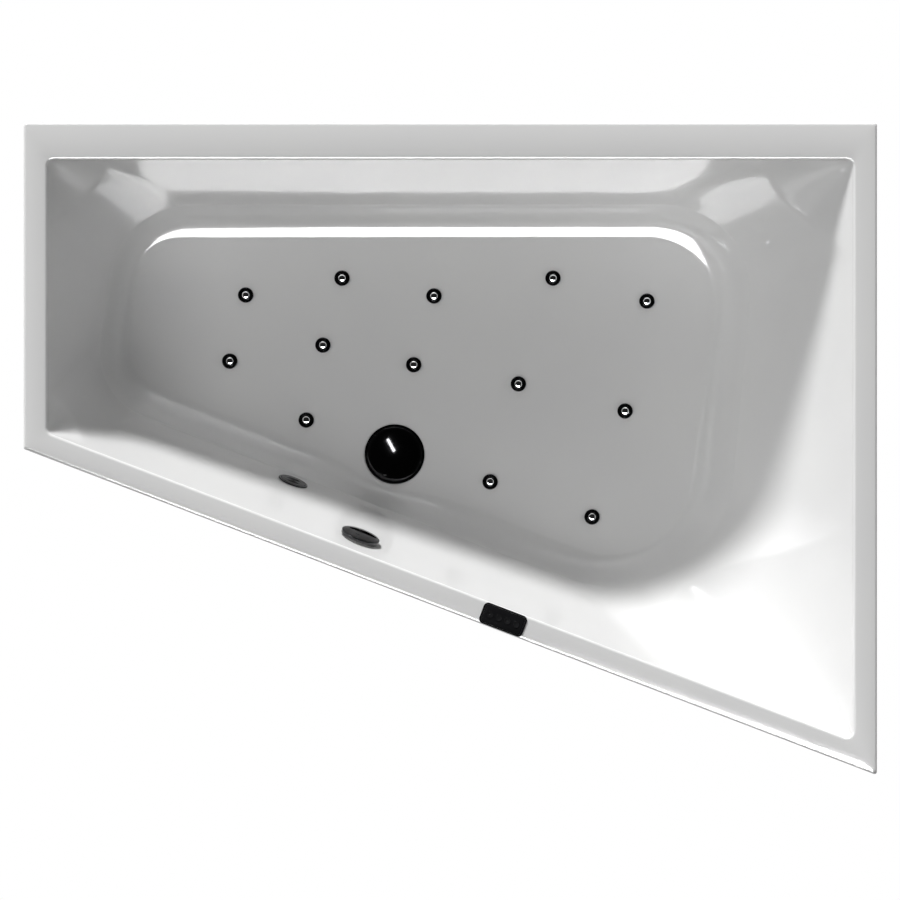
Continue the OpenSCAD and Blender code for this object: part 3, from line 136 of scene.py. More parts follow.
class TubShape:
    """The tub's surface as profiles at stations round its outline, in millimetres."""

    # Corners as shares of half the length and half the width, anticlockwise from the front left
    COVE = ((-0.891, 0.169), (0.667, -0.609), (0.767, 0.794), (-0.82, 0.794))
    FLOOR = ((-0.816, 0.2415), (0.566, -0.449), (0.698, 0.692), (-0.779, 0.692))
    DRAIN = (-0.14, -0.017)
    JETS = (
        (-0.514, 0.506), (-0.272, 0.5615), (-0.041, 0.503), (0.258, 0.5615), (0.494, 0.486),
        (-0.554, 0.289), (-0.32, 0.3415), (-0.092, 0.277), (0.171, 0.214), (0.439, 0.125),
        (-0.362, 0.0954), (0.1, -0.1077), (0.356, -0.223),
    )
    # Corner radii as shares of half the width
    RIM_RADII = (0.17, 0.46, 0.308, 0.185)
    COVE_RADII = (0.231, 0.4, 0.285, 0.27)
    FLOOR_RADII = (0.131, 0.262, 0.231, 0.131)
    # How far down the wall the lip's fold and each corner's shoulder reach, and how round a shoulder's foot is
    LIP = 0.03
    SHOULDERS = (0.26, 0.84, 0.34, 0.29)
    SWELL = 1.3
    SHOULDER_EASE = 16.0
    # Widths of the rim in front, right, behind and left, and its corner radii
    RIM_WIDTHS = (48.0, 48.0, 74.0, 48.0)
    OUTER_CORNER = 5.0
    INNER_CORNER = 14.0
    # The cove's two inner handles, as (share towards the middle, share of the way), and its fillets
    CREASES = ((0.78, 0.55), (0.26, 0.95))
    FILLET = 5.0
    # The floor's edge keeps this far from the waste, over this length to either side
    WASTE_CLEAR = 75.0
    SWING = 170.0
    # The share along the front, with the depth under the rim, the height over the floor and the inset
    OVERFLOW = (-0.245, 85.0)
    LAMP = (-0.4385, 130.0)
    KEYPAD = (0.1135, 24.0)
    # Rings of points on a rounded edge, a wall, the cove and a fillet
    RIM_RINGS = 7
    WALL_STEPS = 9
    COVE_STEPS = 14
    FILLET_STEPS = 4

    def __init__(self, p):
        self.p = p
        self.half_l, self.half_w = p.length / 2, p.wide_end / 2
        self.slope = (p.wide_end - p.narrow_end) / p.length
        self.angle = math.atan(self.slope)
        self.floor_z = p.rim_height - p.well_depth
        self.cove_z = self.floor_z + p.cove_height
        self.lip_z = p.rim_height - p.rim_round
        self.outer = [self.spot(s) for s in ((-1, 1 - p.narrow_end / self.half_w), (1, -1), (1, 1), (-1, 1))]
        self.rim = self.inset(self.outer, self.RIM_WIDTHS)
        cove = [self.spot(s) for s in self.COVE]
        cove[0].y = (cove[1].x - cove[0].x) * self.slope + cove[1].y
        self.cove = cove
        self.floor = [self.spot(s) for s in self.FLOOR]
        self.rim_radii, self.cove_radii, self.floor_radii = (
            [r * self.half_w for r in radii] for radii in (self.RIM_RADII, self.COVE_RADII, self.FLOOR_RADII)
        )
        self.past = (self.lip_z - self.floor_z) / (self.lip_z - self.cove_z)
        self.steps = p.arc_steps + p.side_steps
        self.count = 4 * self.steps
        reach = abs(self.cross(cove[1] - cove[0], self.outer[0] - cove[0])) / (cove[1] - cove[0]).length
        self.tilt = math.atan((reach - self.RIM_WIDTHS[0]) / (self.lip_z - self.cove_z))
        self.drain = self.spot(self.DRAIN)

    @staticmethod
    def cross(a, b):
        return a.x * b.y - a.y * b.x

    def spot(self, share):
        return Vector((share[0] * self.half_l, share[1] * self.half_w))

    def inset(self, quad, widths):
        """The outline with each side moved in: front, right, back and left."""
        moved = []
        for j in range(4):
            lines = []
            for side in ((j + 3) % 4, j):
                run = quad[(side + 1) % 4] - quad[side]
                out = unit(Vector((-run.y, run.x))) * widths[side]
                lines.append((quad[side] + out, run))
            (p, u), (q, v) = lines
            moved.append(p + u * (self.cross(q - p, v) / self.cross(u, v)))
        return moved

    @staticmethod
    def arc_point(quad, r, j, t):
        """A point on the round corner j, where t runs from 0 to 1 over the arc."""
        v = quad[j]
        u, w = unit(quad[(j + 3) % 4] - v), unit(quad[(j + 1) % 4] - v)
        half = math.acos(max(-1.0, min(1.0, u.dot(w)))) / 2
        centre = v + unit(u + w) * (r / math.sin(half))
        first = v + u * (r / math.tan(half)) - centre
        a = math.atan2(first.y, first.x) + (math.pi - 2 * half) * t
        return centre + Vector((math.cos(a), math.sin(a))) * r

    def outline(self, quad, radii, i):
        """Station i on a quadrilateral with round corners."""
        j, s = divmod(i, self.steps)
        k = (j + 1) % 4
        arc = self.p.arc_steps
        if s <= arc:
            return self.arc_point(quad, radii[j], j, s / arc)
        a, b = self.arc_point(quad, radii[j], j, 1), self.arc_point(quad, radii[k], k, 0)
        return lerp(a, b, (s - arc) / self.p.side_steps)

    def wall(self, i, f):
        """Station i on the wall, at share f of the way from the lip to the cove."""
        quad = [lerp(a, b, f) for a, b in zip(self.rim, self.cove)]
        radii = [lerp(a, b, f) for a, b in zip(self.rim_radii, self.cove_radii)]
        p = self.outline(quad, radii, i)
        return Vector((p.x, p.y, lerp(self.lip_z, self.cove_z, f)))

    def shoulder(self, i):
        """Where the crease between shoulder and wall lies at station i, as a share of the wall."""
        j, s = divmod(i, self.steps)
        if s > self.p.arc_steps:
            return self.LIP
        swell = max(0.0, math.sin(math.pi * s / self.p.arc_steps)) ** self.SWELL
        return self.LIP + (self.SHOULDERS[j] - self.LIP) * swell

    def floor_point(self, i):
        """The floor's edge, which swings out round the waste."""
        p = self.outline(self.floor, self.floor_radii, i)
        along = Vector((math.cos(self.angle), -math.sin(self.angle)))
        across = Vector((math.sin(self.angle), math.cos(self.angle)))
        s, d = (p - self.drain).dot(along), (p - self.drain).dot(across)
        if d < 0 and abs(s) < self.SWING:
            share = 0.5 + 0.5 * math.cos(math.pi * s / self.SWING)
            p = p + across * (min(0.0, -self.WASTE_CLEAR - d) * share)
        return Vector((p.x, p.y, self.floor_z))

    def rim_profile(self, i):
        """From the foot of the flange over the rim to the lip of the well."""
        p = self.p
        base = self.outline(self.outer, [self.OUTER_CORNER] * 4, i)
        line = [Vector((base.x, base.y, p.rim_height - p.flange_drop))]
        angles = [90 * n / (self.RIM_RINGS - 1) for n in range(self.RIM_RINGS)]
        for quad, corner, sign in ((self.outer, self.OUTER_CORNER, 1), (self.rim, self.INNER_CORNER, -1)):
            for a in angles if sign > 0 else reversed(angles):
                c = p.rim_round * (1 - math.cos(math.radians(a)))
                moved = self.inset(quad, [sign * c] * 4)
                q = self.outline(moved, [corner if sign > 0 else corner + c] * 4, i)
                line.append(Vector((q.x, q.y, self.lip_z + p.rim_round * math.sin(math.radians(a)))))
        return line

    def well_profile(self, i):
        """From below the lip down to the floor's edge, with its creases eased."""
        top = self.outline(self.rim, [self.INNER_CORNER] * 4, i)
        top = Vector((top.x, top.y, self.lip_z))
        f = self.shoulder(i)
        crease, foot, edge = self.wall(i, f), self.wall(i, 1), self.floor_point(i)
        drop = (foot - crease).length
        ease = min(self.SHOULDER_EASE, 0.2 * (crease - top).length, 0.3 * drop)
        rounds = self.FILLET_STEPS

        # Shoulder, its crease and the wall
        line = [top] + [lerp(top, crease, t) for t in (0.25, 0.5, 0.75)]
        a, b = crease + unit(top - crease) * ease, crease + unit(foot - crease) * ease
        line += [bezier(a, crease, b, t / rounds) for t in range(rounds + 1)]
        start = f + (1 - f) * ease / max(drop, 1e-6)
        line += [self.wall(i, lerp(start, 1, t / self.WALL_STEPS)) for t in range(1, self.WALL_STEPS)]

        # Fillet at the wall's foot, the cove and the fillet at the floor
        past, middle = self.wall(i, self.past), (foot + edge) / 2
        high, low = (lerp(end, lerp(past, middle, c), h) for end, (c, h) in zip((foot, edge), self.CREASES))
        ease = self.FILLET
        first, last = ease / (high - foot).length / 3, 1 - ease / (edge - low).length / 3
        inward = unit(Vector((edge.x - low.x, edge.y - low.y, 0)))
        above = foot + unit(crease - foot) * ease

        def cove(t):
            return lerp(bezier(foot, high, low, t), bezier(high, low, edge, t), t)

        line += [bezier(above, foot, cove(first), t / rounds) for t in range(rounds + 1)]
        line += [cove(lerp(first, last, t / self.COVE_STEPS)) for t in range(1, self.COVE_STEPS + 1)]
        return line + [bezier(cove(last), edge, edge + inward * ease, t / rounds) for t in range(1, rounds + 1)]

    def wall_off(self, z):
        """How far in from the front edge the wall stands at a height."""
        return self.RIM_WIDTHS[0] + (self.lip_z - z) * math.tan(self.tilt)

    def front(self, s, off, z):
        """A point by its place along the slanted front, its distance in from it, and its height."""
        y = -self.half_w + (self.half_l - s) * self.slope
        return Vector((s + math.sin(self.angle) * off, y + math.cos(self.angle) * off, z))

    def front_wall_frame(self, s, z):
        """A frame on the front wall: Z square into the bath, Y up the wall."""
        turn = Matrix.Rotation(-self.angle, 4, "Z") @ Matrix.Rotation(self.tilt - math.pi / 2, 4, "X")
        place = Matrix.Translation(self.front(s, self.wall_off(z), z) * MM)
        return place @ turn @ Matrix.Rotation(math.pi, 4, "Z")

    def overflow_frame(self):
        return self.front_wall_frame(self.OVERFLOW[0] * self.half_l, self.p.rim_height - self.OVERFLOW[1])

    def lamp_frame(self):
        return self.front_wall_frame(self.LAMP[0] * self.half_l, self.floor_z + self.LAMP[1])

    def keypad_frame(self):
        s, off = self.KEYPAD[0] * self.half_l, self.KEYPAD[1]
        place = Matrix.Translation(self.front(s, off, self.p.rim_height) * MM)
        return place @ Matrix.Rotation(-self.angle, 4, "Z")

    def profiles(self):
        return [self.rim_profile(i) + self.well_profile(i) for i in range(self.count)]


class Step:
    """What the operators share: each builds its group of pieces from the scene's settings."""

    def execute(self, context):
        scene = context.scene
        self.build(TubShape(scene.tub), scene.tub_look)
        return {"FINISHED"}


# Mesh helpers


def add_object(name, data):
    obj = bpy.data.objects.new(name, data)
    bpy.context.scene.collection.objects.link(obj)
    return obj


def shade(obj, sharp=35):
    """Smooth shading with edges over sharp degrees kept."""
    obj.data.shade_smooth()
    obj.data.set_sharp_from_angle(angle=math.radians(sharp))
    return obj


def new_piece(name, verts, faces, smooth=True, sharp=35):
    mesh = bpy.data.meshes.new(name)
    mesh.from_pydata([tuple(v) for v in verts], [], faces)
    mesh.validate()
    mesh.update()
    obj = add_object(name, mesh)
    return shade(obj, sharp) if smooth else obj


def settle(obj, *modifiers):
    """Adds modifiers, bakes them in and leaves a plain mesh."""
    for kind, settings in modifiers:
        m = obj.modifiers.new(kind.title(), kind)
        for key, value in settings.items():
            setattr(m, key, value)
    bpy.context.view_layer.update()
    graph = bpy.context.evaluated_depsgraph_get()
    mesh = bpy.data.meshes.new_from_object(obj.evaluated_get(graph))
    old = obj.data
    obj.modifiers.clear()
    obj.data = mesh
    bpy.data.meshes.remove(old)
    mesh.name = obj.name
    return obj


def keep_mesh(bm, mesh):
    bm.to_mesh(mesh)
    bm.free()
    return mesh


def merge(name, objects):
    """Joins plain meshes into one object."""
    bm = bmesh.new()
    for obj in objects:
        bm.from_mesh(obj.data)
        bpy.data.objects.remove(obj)
    return add_object(name, keep_mesh(bm, bpy.data.meshes.new(name)))


def cut(obj, cutters):
    """Takes the cutters out of a piece."""
    cutter = merge("holes", cutters)
    settle(obj, ("BOOLEAN", {"operation": "DIFFERENCE", "object": cutter, "solver": "EXACT"}))
    bpy.data.objects.remove(cutter)


def shift(x, y, z=0.0):
    """A move given in millimetres."""
    return Matrix.Translation(Vector((x, y, z)) * MM)


def circle(r, z, steps):
    turns = (2 * math.pi * n / steps for n in range(steps))
    return [(r * math.cos(a), r * math.sin(a), z) for a in turns]


def ring_faces(rings, sides, first=0, low=True, high=True):
    """Quads between rings of points that start at first, with the end rings closed where asked."""
    faces = []
    for k in range(first, first + (rings - 1) * sides, sides):
        for i in range(sides):
            j = (i + 1) % sides
            faces.append((k + i, k + j, k + sides + j, k + sides + i))
    if low:
        faces.append(tuple(first + i for i in reversed(range(sides))))
    if high:
        faces.append(tuple(first + (rings - 1) * sides + i for i in range(sides)))
    return faces


def lathe(name, profile, steps=96, matrix=None, sharp=35):
    """Turns (radius, height) pairs in millimetres about Z."""
    bm = bmesh.new()
    rings = [
        [bm.verts.new((x * MM, y * MM, h * MM)) for x, y, h in (circle(r, z, steps) if r > 0 else [(0, 0, z)])]
        for r, z in profile
    ]
    for low, high in zip(rings, rings[1:]):
        for n in range(steps):
            m = (n + 1) % steps
            loop = [low[n % len(low)], low[m % len(low)], high[m % len(high)], high[n % len(high)]]
            loop = list(dict.fromkeys(loop))
            if len(loop) > 2:
                bm.faces.new(loop)
    bmesh.ops.recalc_face_normals(bm, faces=bm.faces)
    mesh = keep_mesh(bm, bpy.data.meshes.new(name))
    if matrix:
        mesh.transform(matrix)
    return shade(add_object(name, mesh), sharp)


def rod(r, low, high):
    """The profile of a plain rod or pin."""
    return (0.0, low), (r, low), (r, high), (0.0, high)


def dome(top, bend, reach, steps):
    """The profile of a shallow dome, from its middle out to reach, bent to one radius."""
    spots = (reach * n / steps for n in range(1, steps + 1))
    return [(0.0, top)] + [(x, top - (bend - math.sqrt(bend * bend - x * x))) for x in spots]


def rounded_outline(size_x, size_y, r, steps=10):
    """A rectangle with round corners, anticlockwise from its right side."""
    points = []
    x, y = size_x / 2 - r, size_y / 2 - r
    for cx, cy, start in ((x, y, 0), (-x, y, 90), (-x, -y, 180), (x, -y, 270)):
        for n in range(steps + 1):
            a = math.radians(start + 90 * n / steps)
            points.append(Vector((cx + r * math.cos(a), cy + r * math.sin(a))))
    return points


def inset_outline(size_x, size_y, r, d, steps=10):
    return rounded_outline(size_x - 2 * d, size_y - 2 * d, r - d, steps)


def plate(name, outline_at, levels, matrix, closed=True, sharp=35):
    """A plate lofted through outlines: levels holds (inset, height) pairs in millimetres."""
    rings = [[(p.x * MM, p.y * MM, z * MM) for p in outline_at(d)] for d, z in levels]
    faces = ring_faces(len(rings), len(rings[0]), low=closed, high=closed)
    obj = new_piece(name, [v for ring in rings for v in ring], faces, sharp=sharp)
    obj.data.transform(matrix)
    return obj


def tube(name, path, radius, bend, sides=32, bore=0.0, bend_steps=14):
    """A tube swept along a path in millimetres, its corners rounded to one radius."""
    line = [path[0]]
    for before, p, after in zip(path, path[1:], path[2:]):
        d, e = unit(p - before), unit(after - p)
        turn = d.angle(e)
        inward = unit(e - d * e.dot(d))
        centre = p - d * bend * math.tan(turn / 2) + inward * bend
        for m in range(bend_steps + 1):
            a = turn * m / bend_steps
            line.append(centre + (d * math.sin(a) - inward * math.cos(a)) * bend)
    line.append(path[-1])
    tangents = [unit(line[min(k + 1, len(line) - 1)] - line[max(k - 1, 0)]) for k in range(len(line))]
    normal = Vector((0, 0, 1)) if abs(tangents[0].z) < 0.9 else Vector((1, 0, 0))
    verts = []
    for p, t in zip(line, tangents):
        normal = unit(normal - t * normal.dot(t))
        side = t.cross(normal)
        for n in range(sides):
            a = 2 * math.pi * n / sides
            verts.append((p + (normal * math.cos(a) + side * math.sin(a)) * radius) * MM)
    obj = new_piece(name, verts, ring_faces(len(line), sides, low=not bore, high=not bore))
    if bore:
        settle(obj, ("SOLIDIFY", {"thickness": (radius - bore) * MM, "offset": -1.0}))
        shade(obj)
    return obj


def threaded(name, low, high, r, pitch, matrix, depth=0.9, steps=24):
    """A rod with a helical thread along Z, in millimetres."""
    rows = int((high - low) / pitch * 4)
    verts = []
    for k in range(rows + 1):
        z = min(high, max(low, low + (high - low) * k / rows))
        for n in range(steps):
            a = 2 * math.pi * n / steps
            phase = (z / pitch - n / steps) % 1.0
            radius = r - depth * abs(2 * phase - 1) if 0 < k < rows else r - depth
            verts.append(Vector((radius * math.cos(a), radius * math.sin(a), z)) * MM)
    obj = new_piece(name, verts, ring_faces(rows + 1, steps))
    obj.data.transform(matrix)
    return obj


def scatter(name, source, places, look):
    """Repeats one piece on every place with Geometry Nodes and bakes the copies."""
    holder = new_piece(name, [Vector(p) * MM for p in places], [], False)
    tree = bpy.data.node_groups.new(name, "GeometryNodeTree")
    for way in ("INPUT", "OUTPUT"):
        tree.interface.new_socket("Geometry", in_out=way, socket_type="NodeSocketGeometry")
    kinds = (
        "NodeGroupInput", "GeometryNodeMeshToPoints", "GeometryNodeInstanceOnPoints", "GeometryNodeRealizeInstances",
        "GeometryNodeSetMaterial", "NodeGroupOutput",
    )
    chain = [tree.nodes.new(kind) for kind in kinds]
    for a, b in zip(chain, chain[1:]):
        tree.links.new(a.outputs[0], b.inputs[0])
    piece = tree.nodes.new("GeometryNodeObjectInfo")
    piece.inputs["Object"].default_value = source
    tree.links.new(piece.outputs["Geometry"], chain[2].inputs["Instance"])
    chain[4].inputs["Material"].default_value = look.material
    settle(holder, ("NODES", {"node_group": tree}))
    bpy.data.objects.remove(source)
    return holder


# Materials


class Socket:
    """A node socket whose plus and times make Math nodes, with another socket or a number."""

    def __init__(self, look, socket):
        self.look, self.socket = look, socket

    def __add__(self, other):
        return self.look.node("Math", {"operation": "ADD"}, self, other)

    def __mul__(self, other):
        return self.look.node("Math", {"operation": "MULTIPLY"}, self, other)

    def spread(self, low, high):
        """Maps 0..1 to low..high."""
        return self * (high - low) + low


class Look:
    """A material's node tree, built through one generic call."""

    def __init__(self, name, colour, roughness, metallic=0.0, **sockets):
        self.material = bpy.data.materials.new(name)
        self.material.use_nodes = True
        self.tree = self.material.node_tree
        self.shader = self.tree.nodes["Principled BSDF"]
        self.put("Base Color", (*colour, 1.0))
        self.put("Roughness", roughness)
        self.put("Metallic", metallic)
        for key, value in sockets.items():
            self.put(key.replace("_", " ").title(), value)

    def put(self, socket, value):
        target = self.shader.inputs[socket]
        if isinstance(value, Socket):
            self.tree.links.new(value.socket, target)
        else:
            target.default_value = value

    def node(self, kind, settings, *inputs, out=0, **named):
        n = self.tree.nodes.new("ShaderNode" + kind)
        for key, value in settings.items():
            setattr(n, key, value)
        for key, value in [*enumerate(inputs), *named.items()]:
            target = n.inputs[key.replace("_", " ") if isinstance(key, str) else key]
            if isinstance(value, Socket):
                self.tree.links.new(value.socket, target)
            else:
                target.default_value = value
        return Socket(self, n.outputs[out])

    def place(self, scale=(1, 1, 1)):
        at = self.node("TexCoord", {}, out=3)
        return self.node("Mapping", {}, Vector=at, Scale=scale)

    def noise(self, size, detail=3.0, roughness=0.5, stretch=(1, 1, 1)):
        """Noise whose features are about size millimetres wide."""
        return self.node(
            "TexNoise", {}, Vector=self.place(stretch), Scale=1 / MM / size, Detail=detail,
            Roughness=roughness,
        )

    def cells(self, size, stretch=(1, 1, 1), out=0):
        """Cells about size millimetres wide: out 0 is the distance to their middles, 1 their colour."""
        return self.node("TexVoronoi", {}, Vector=self.place(stretch), Scale=1 / MM / size, out=out)

    def bands(self, direction, scale, distortion, stretch=(1, 1, 1), **named):
        settings = {"wave_type": "BANDS", "bands_direction": direction}
        return self.node(
            "TexWave", settings, Vector=self.place(stretch), Scale=scale, Distortion=distortion, **named
        )

    def tint(self, value, *stops):
        """Colours the surface by a value, through stops of (place, colour)."""
        n = self.tree.nodes.new("ShaderNodeValToRGB")
        self.tree.links.new(value.socket, n.inputs[0])
        fill_ramp(n.color_ramp, stops)
        self.put("Base Color", Socket(self, n.outputs[0]))

    def bump(self, height, depth, strength=1.0):
        """Bump of a depth in millimetres."""
        self.put("Normal", self.node("Bump", {}, Strength=strength, Distance=depth * MM, Height=height))
        return self


def fill_ramp(ramp, stops):
    while len(ramp.elements) < len(stops):
        ramp.elements.new(0.5)
    for element, (at, colour) in zip(ramp.elements, stops):
        element.position = at
        element.color = (*colour, 1.0)


def wear(obj, look):
    obj.data.materials.clear()
    obj.data.materials.append(look.material)


def fit(obj, look, node, body):
    """Paints a piece that stands for a CAD node and rides on a body."""
    wear(obj, look)
    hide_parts(node)
    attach(obj, body)


def scaled(colour, *factors):
    """A colour with each channel times its factor, where one factor serves all three."""
    return tuple(min(1.0, c * f) for c, f in zip(colour, factors * 3 if len(factors) == 1 else factors))


def acrylic(colour):
    look = Look("acrylic", colour, 0.16, coat_weight=0.6, coat_roughness=0.04)
    look.put("Specular IOR Level", 0.45)
    look.put("Roughness", look.noise(90, 4).spread(0.12, 0.2))
    warm = scaled(colour, 1.0125, 1.0125, 1.00625)
    look.tint(look.noise(260, 2), (0.3, scaled(colour, 0.9875)), (0.7, warm))
    return look.bump(look.noise(140, 1), 0.12, 0.35)


# Bright chrome by default; given a near-black colour it makes the copy whose dark base is painted dark reflection.
def chrome(name="chrome", colour=(0.86, 0.87, 0.88)):
    look = Look(name, colour, 0.05, 1.0)
    look.put("Roughness", look.noise(9, 4).spread(0.03, 0.09))
    return look.bump(look.noise(26, 2), 0.02, 0.3)


def fibreglass():
    look = Look("fibreglass", (0.74, 0.71, 0.6), 0.5, coat_weight=0.25, coat_roughness=0.3)
    strands = look.noise(7, 6, 0.7, (1.0, 0.25, 1.0))
    lumps = look.noise(38, 4)
    stops = (0.32, (0.55, 0.5, 0.38)), (0.52, (0.74, 0.71, 0.6)), (0.7, (0.86, 0.84, 0.76))
    look.tint(strands * 0.6 + lumps * 0.4, *stops)
    look.put("Roughness", strands.spread(0.3, 0.75))
    return look.bump(strands * 0.5 + lumps * 0.8, 2.2, 0.9)


def chipboard():
    look = Look("chipboard", (0.5, 0.36, 0.22), 0.75)
    tone = look.node("SeparateColor", {}, look.cells(6.5, (1.0, 0.45, 1.0), 1))
    stops = (0.1, (0.3, 0.19, 0.1)), (0.5, (0.52, 0.37, 0.22)), (0.9, (0.72, 0.57, 0.38))
    look.tint(tone * 0.75 + look.noise(3, 3) * 0.25, *stops)
    look.put("Roughness", tone.spread(0.6, 0.85))
    return look.bump(tone + look.noise(2.5, 3) * 0.6, 0.35, 0.7)


def timber():
    look = Look("timber", (0.66, 0.5, 0.32), 0.62)
    grain = look.bands("Y", 22.0, 7.0, (0.35, 1, 1), Detail=3.0, Detail_Scale=1.6)
    fine = look.noise(1.6, 4, 0.6, (0.06, 1, 1))
    stops = (0.2, (0.5, 0.34, 0.18)), (0.6, (0.68, 0.51, 0.32)), (0.85, (0.76, 0.61, 0.42))
    look.tint(grain * 0.55 + fine * 0.45, *stops)
    look.put("Roughness", fine.spread(0.5, 0.75))
    return look.bump(fine, 0.15, 0.6)


def galvanised():
    look = Look("galvanised", (0.6, 0.62, 0.63), 0.4, 0.85)
    spangle = look.node("SeparateColor", {}, look.cells(11, out=1))
    haze = look.noise(60, 4)
    look.tint(spangle * 0.5 + haze * 0.5, (0.2, (0.46, 0.48, 0.5)), (0.8, (0.72, 0.73, 0.74)))
    look.put("Roughness", (spangle * 0.6 + haze * 0.4).spread(0.28, 0.58))
    return look.bump(look.noise(5, 4), 0.06, 0.5)


def zinc():
    look = Look("zinc", (0.68, 0.68, 0.64), 0.3, 0.95)
    patches = look.noise(14, 3)
    look.tint(patches, (0.3, (0.62, 0.62, 0.6)), (0.7, (0.74, 0.73, 0.66)))
    look.put("Roughness", patches.spread(0.2, 0.42))
    return look.bump(look.noise(2, 3), 0.03, 0.4)


def moulded(name, colour, roughness, grain=0.8, coat=0.0):
    """Plastic with a grain of so many millimetres."""
    look = Look(name, colour, roughness, coat_weight=coat, coat_roughness=0.12)
    cloud = look.noise(45, 3)
    look.tint(cloud, (0.3, scaled(colour, 0.88)), (0.7, scaled(colour, 1.1)))
    look.put("Roughness", cloud.spread(roughness * 0.85, min(1.0, roughness * 1.2)))
    return look.bump(look.noise(grain, 3), 0.05, 0.35)


def rubber():
    look = Look("rubber", (0.025, 0.025, 0.026), 0.7)
    fine = look.noise(1.2, 3)
    look.put("Roughness", look.noise(20, 3).spread(0.55, 0.85))
    return look.bump(fine, 0.05, 0.5)


def hose():
    look = Look("hose", (0.5, 0.53, 0.55), 0.32, coat_weight=0.3, coat_roughness=0.15)
    look.tint(look.noise(30, 3), (0.3, (0.44, 0.47, 0.49)), (0.7, (0.56, 0.59, 0.61)))
    return look.bump(look.noise(4, 2), 0.06, 0.4)


def winding():
    look = Look("winding", (0.3, 0.12, 0.05), 0.35, 0.6)
    turns = look.bands("Z", 160.0, 0.6)
    look.tint(turns, (0.2, (0.2, 0.07, 0.03)), (0.8, (0.42, 0.2, 0.09)))
    return look.bump(turns, 0.3, 0.6)


def dark_lens():
    look = Look("lens", (0.012, 0.013, 0.014), 0.06)
    look.put("Specular IOR Level", 0.25)
    look.put("Roughness", look.noise(12, 2).spread(0.04, 0.1))
    return look.bump(look.cells(5.5), 0.25, 0.35)


# The stage


def add_nodes(tree, kinds):
    return [tree.nodes.new("ShaderNode" + kind) for kind in kinds.split()]


def backdrop():
    """A floor that shows pure white to the camera, to metal and to glass, and keeps the tub's shadow plain."""
    material = bpy.data.materials.new("backdrop")
    material.use_nodes = True
    tree = material.node_tree
    tree.nodes.clear()
    kinds = "OutputMaterial MixShader LightPath BsdfDiffuse Emission Math Math"
    out, mix, path, plain, white, either, all_three = add_nodes(tree, kinds)
    plain.inputs[0].default_value = (0.75, 0.75, 0.75, 1)
    white.inputs[0].default_value = (1, 1, 1, 1)
    for sum_of in (either, all_three):
        sum_of.operation = "ADD"
        sum_of.use_clamp = True
    for source, target in (
        (path.outputs["Is Camera Ray"], either.inputs[0]), (path.outputs["Is Glossy Ray"], either.inputs[1]),
        (either.outputs[0], all_three.inputs[0]), (path.outputs["Is Transmission Ray"], all_three.inputs[1]),
        (all_three.outputs[0], mix.inputs[0]), (plain.outputs[0], mix.inputs[1]), (white.outputs[0], mix.inputs[2]),
        (mix.outputs[0], out.inputs[0]),
    ):
        tree.links.new(source, target)
    return material


def studio(settings):
    """A room that is pale at the horizon, dim above, dark overhead and dimmer to the right."""
    world = bpy.data.worlds.new("studio")
    world.use_nodes = True
    tree = world.node_tree
    ground = tree.nodes["Background"]
    kinds = "TexCoord SeparateXYZ ValToRGB MapRange Math LightPath Math"
    at, split, sky, side, both, path, seen = add_nodes(tree, kinds)
    both.operation, seen.operation = "MULTIPLY", "MAXIMUM"
    for source, target in (
        (at.outputs["Generated"], split.inputs[0]), (split.outputs["Z"], sky.inputs[0]),
        (split.outputs["X"], side.inputs["Value"]), (sky.outputs[0], both.inputs[0]),
        (side.outputs[0], both.inputs[1]), (both.outputs[0], seen.inputs[0]),
        (path.outputs["Is Camera Ray"], seen.inputs[1]), (seen.outputs[0], ground.inputs["Strength"]),
    ):
        tree.links.new(source, target)
    above, zenith = settings.above, settings.zenith
    heights = ((0.0, 1.0), (0.42, 1.0), (0.56, above), (0.9, above), (0.935, zenith), (1.0, zenith))
    fill_ramp(sky.color_ramp, [(height, [grey] * 3) for height, grey in heights])
    near, far = (settings.ambient * factor for factor in (settings.near, settings.far))
    for name, value in (("From Min", -0.7), ("From Max", 0.6), ("To Min", near), ("To Max", far)):
        side.inputs[name].default_value = value
    ground.inputs["Color"].default_value = (1, 1, 1, 1)
    return world


def add_sun(name, power, width, towards):
    light = bpy.data.lights.new(name, "SUN")
    light.energy, light.angle = power, width
    obj = add_object(name, light)
    obj.rotation_euler = Vector(towards).to_track_quat("Z", "Y").to_euler()
    return obj


def add_gloss(name, place, aim, size, power, *receivers):
    """A panel that only shows as a reflection, and only on the pieces named."""
    light = bpy.data.lights.new(name, "AREA")
    light.shape = "RECTANGLE"
    light.size, light.size_y = size
    light.energy = power
    obj = add_object(name, light)
    obj.location = place
    obj.rotation_euler = (Vector(aim) - Vector(place)).to_track_quat("-Z", "Y").to_euler()
    obj.visible_diffuse = False
    lit = bpy.data.collections.new(name)
    for receiver in receivers:
        lit.objects.link(bpy.data.objects[receiver])
    obj.light_linking.receiver_collection = lit


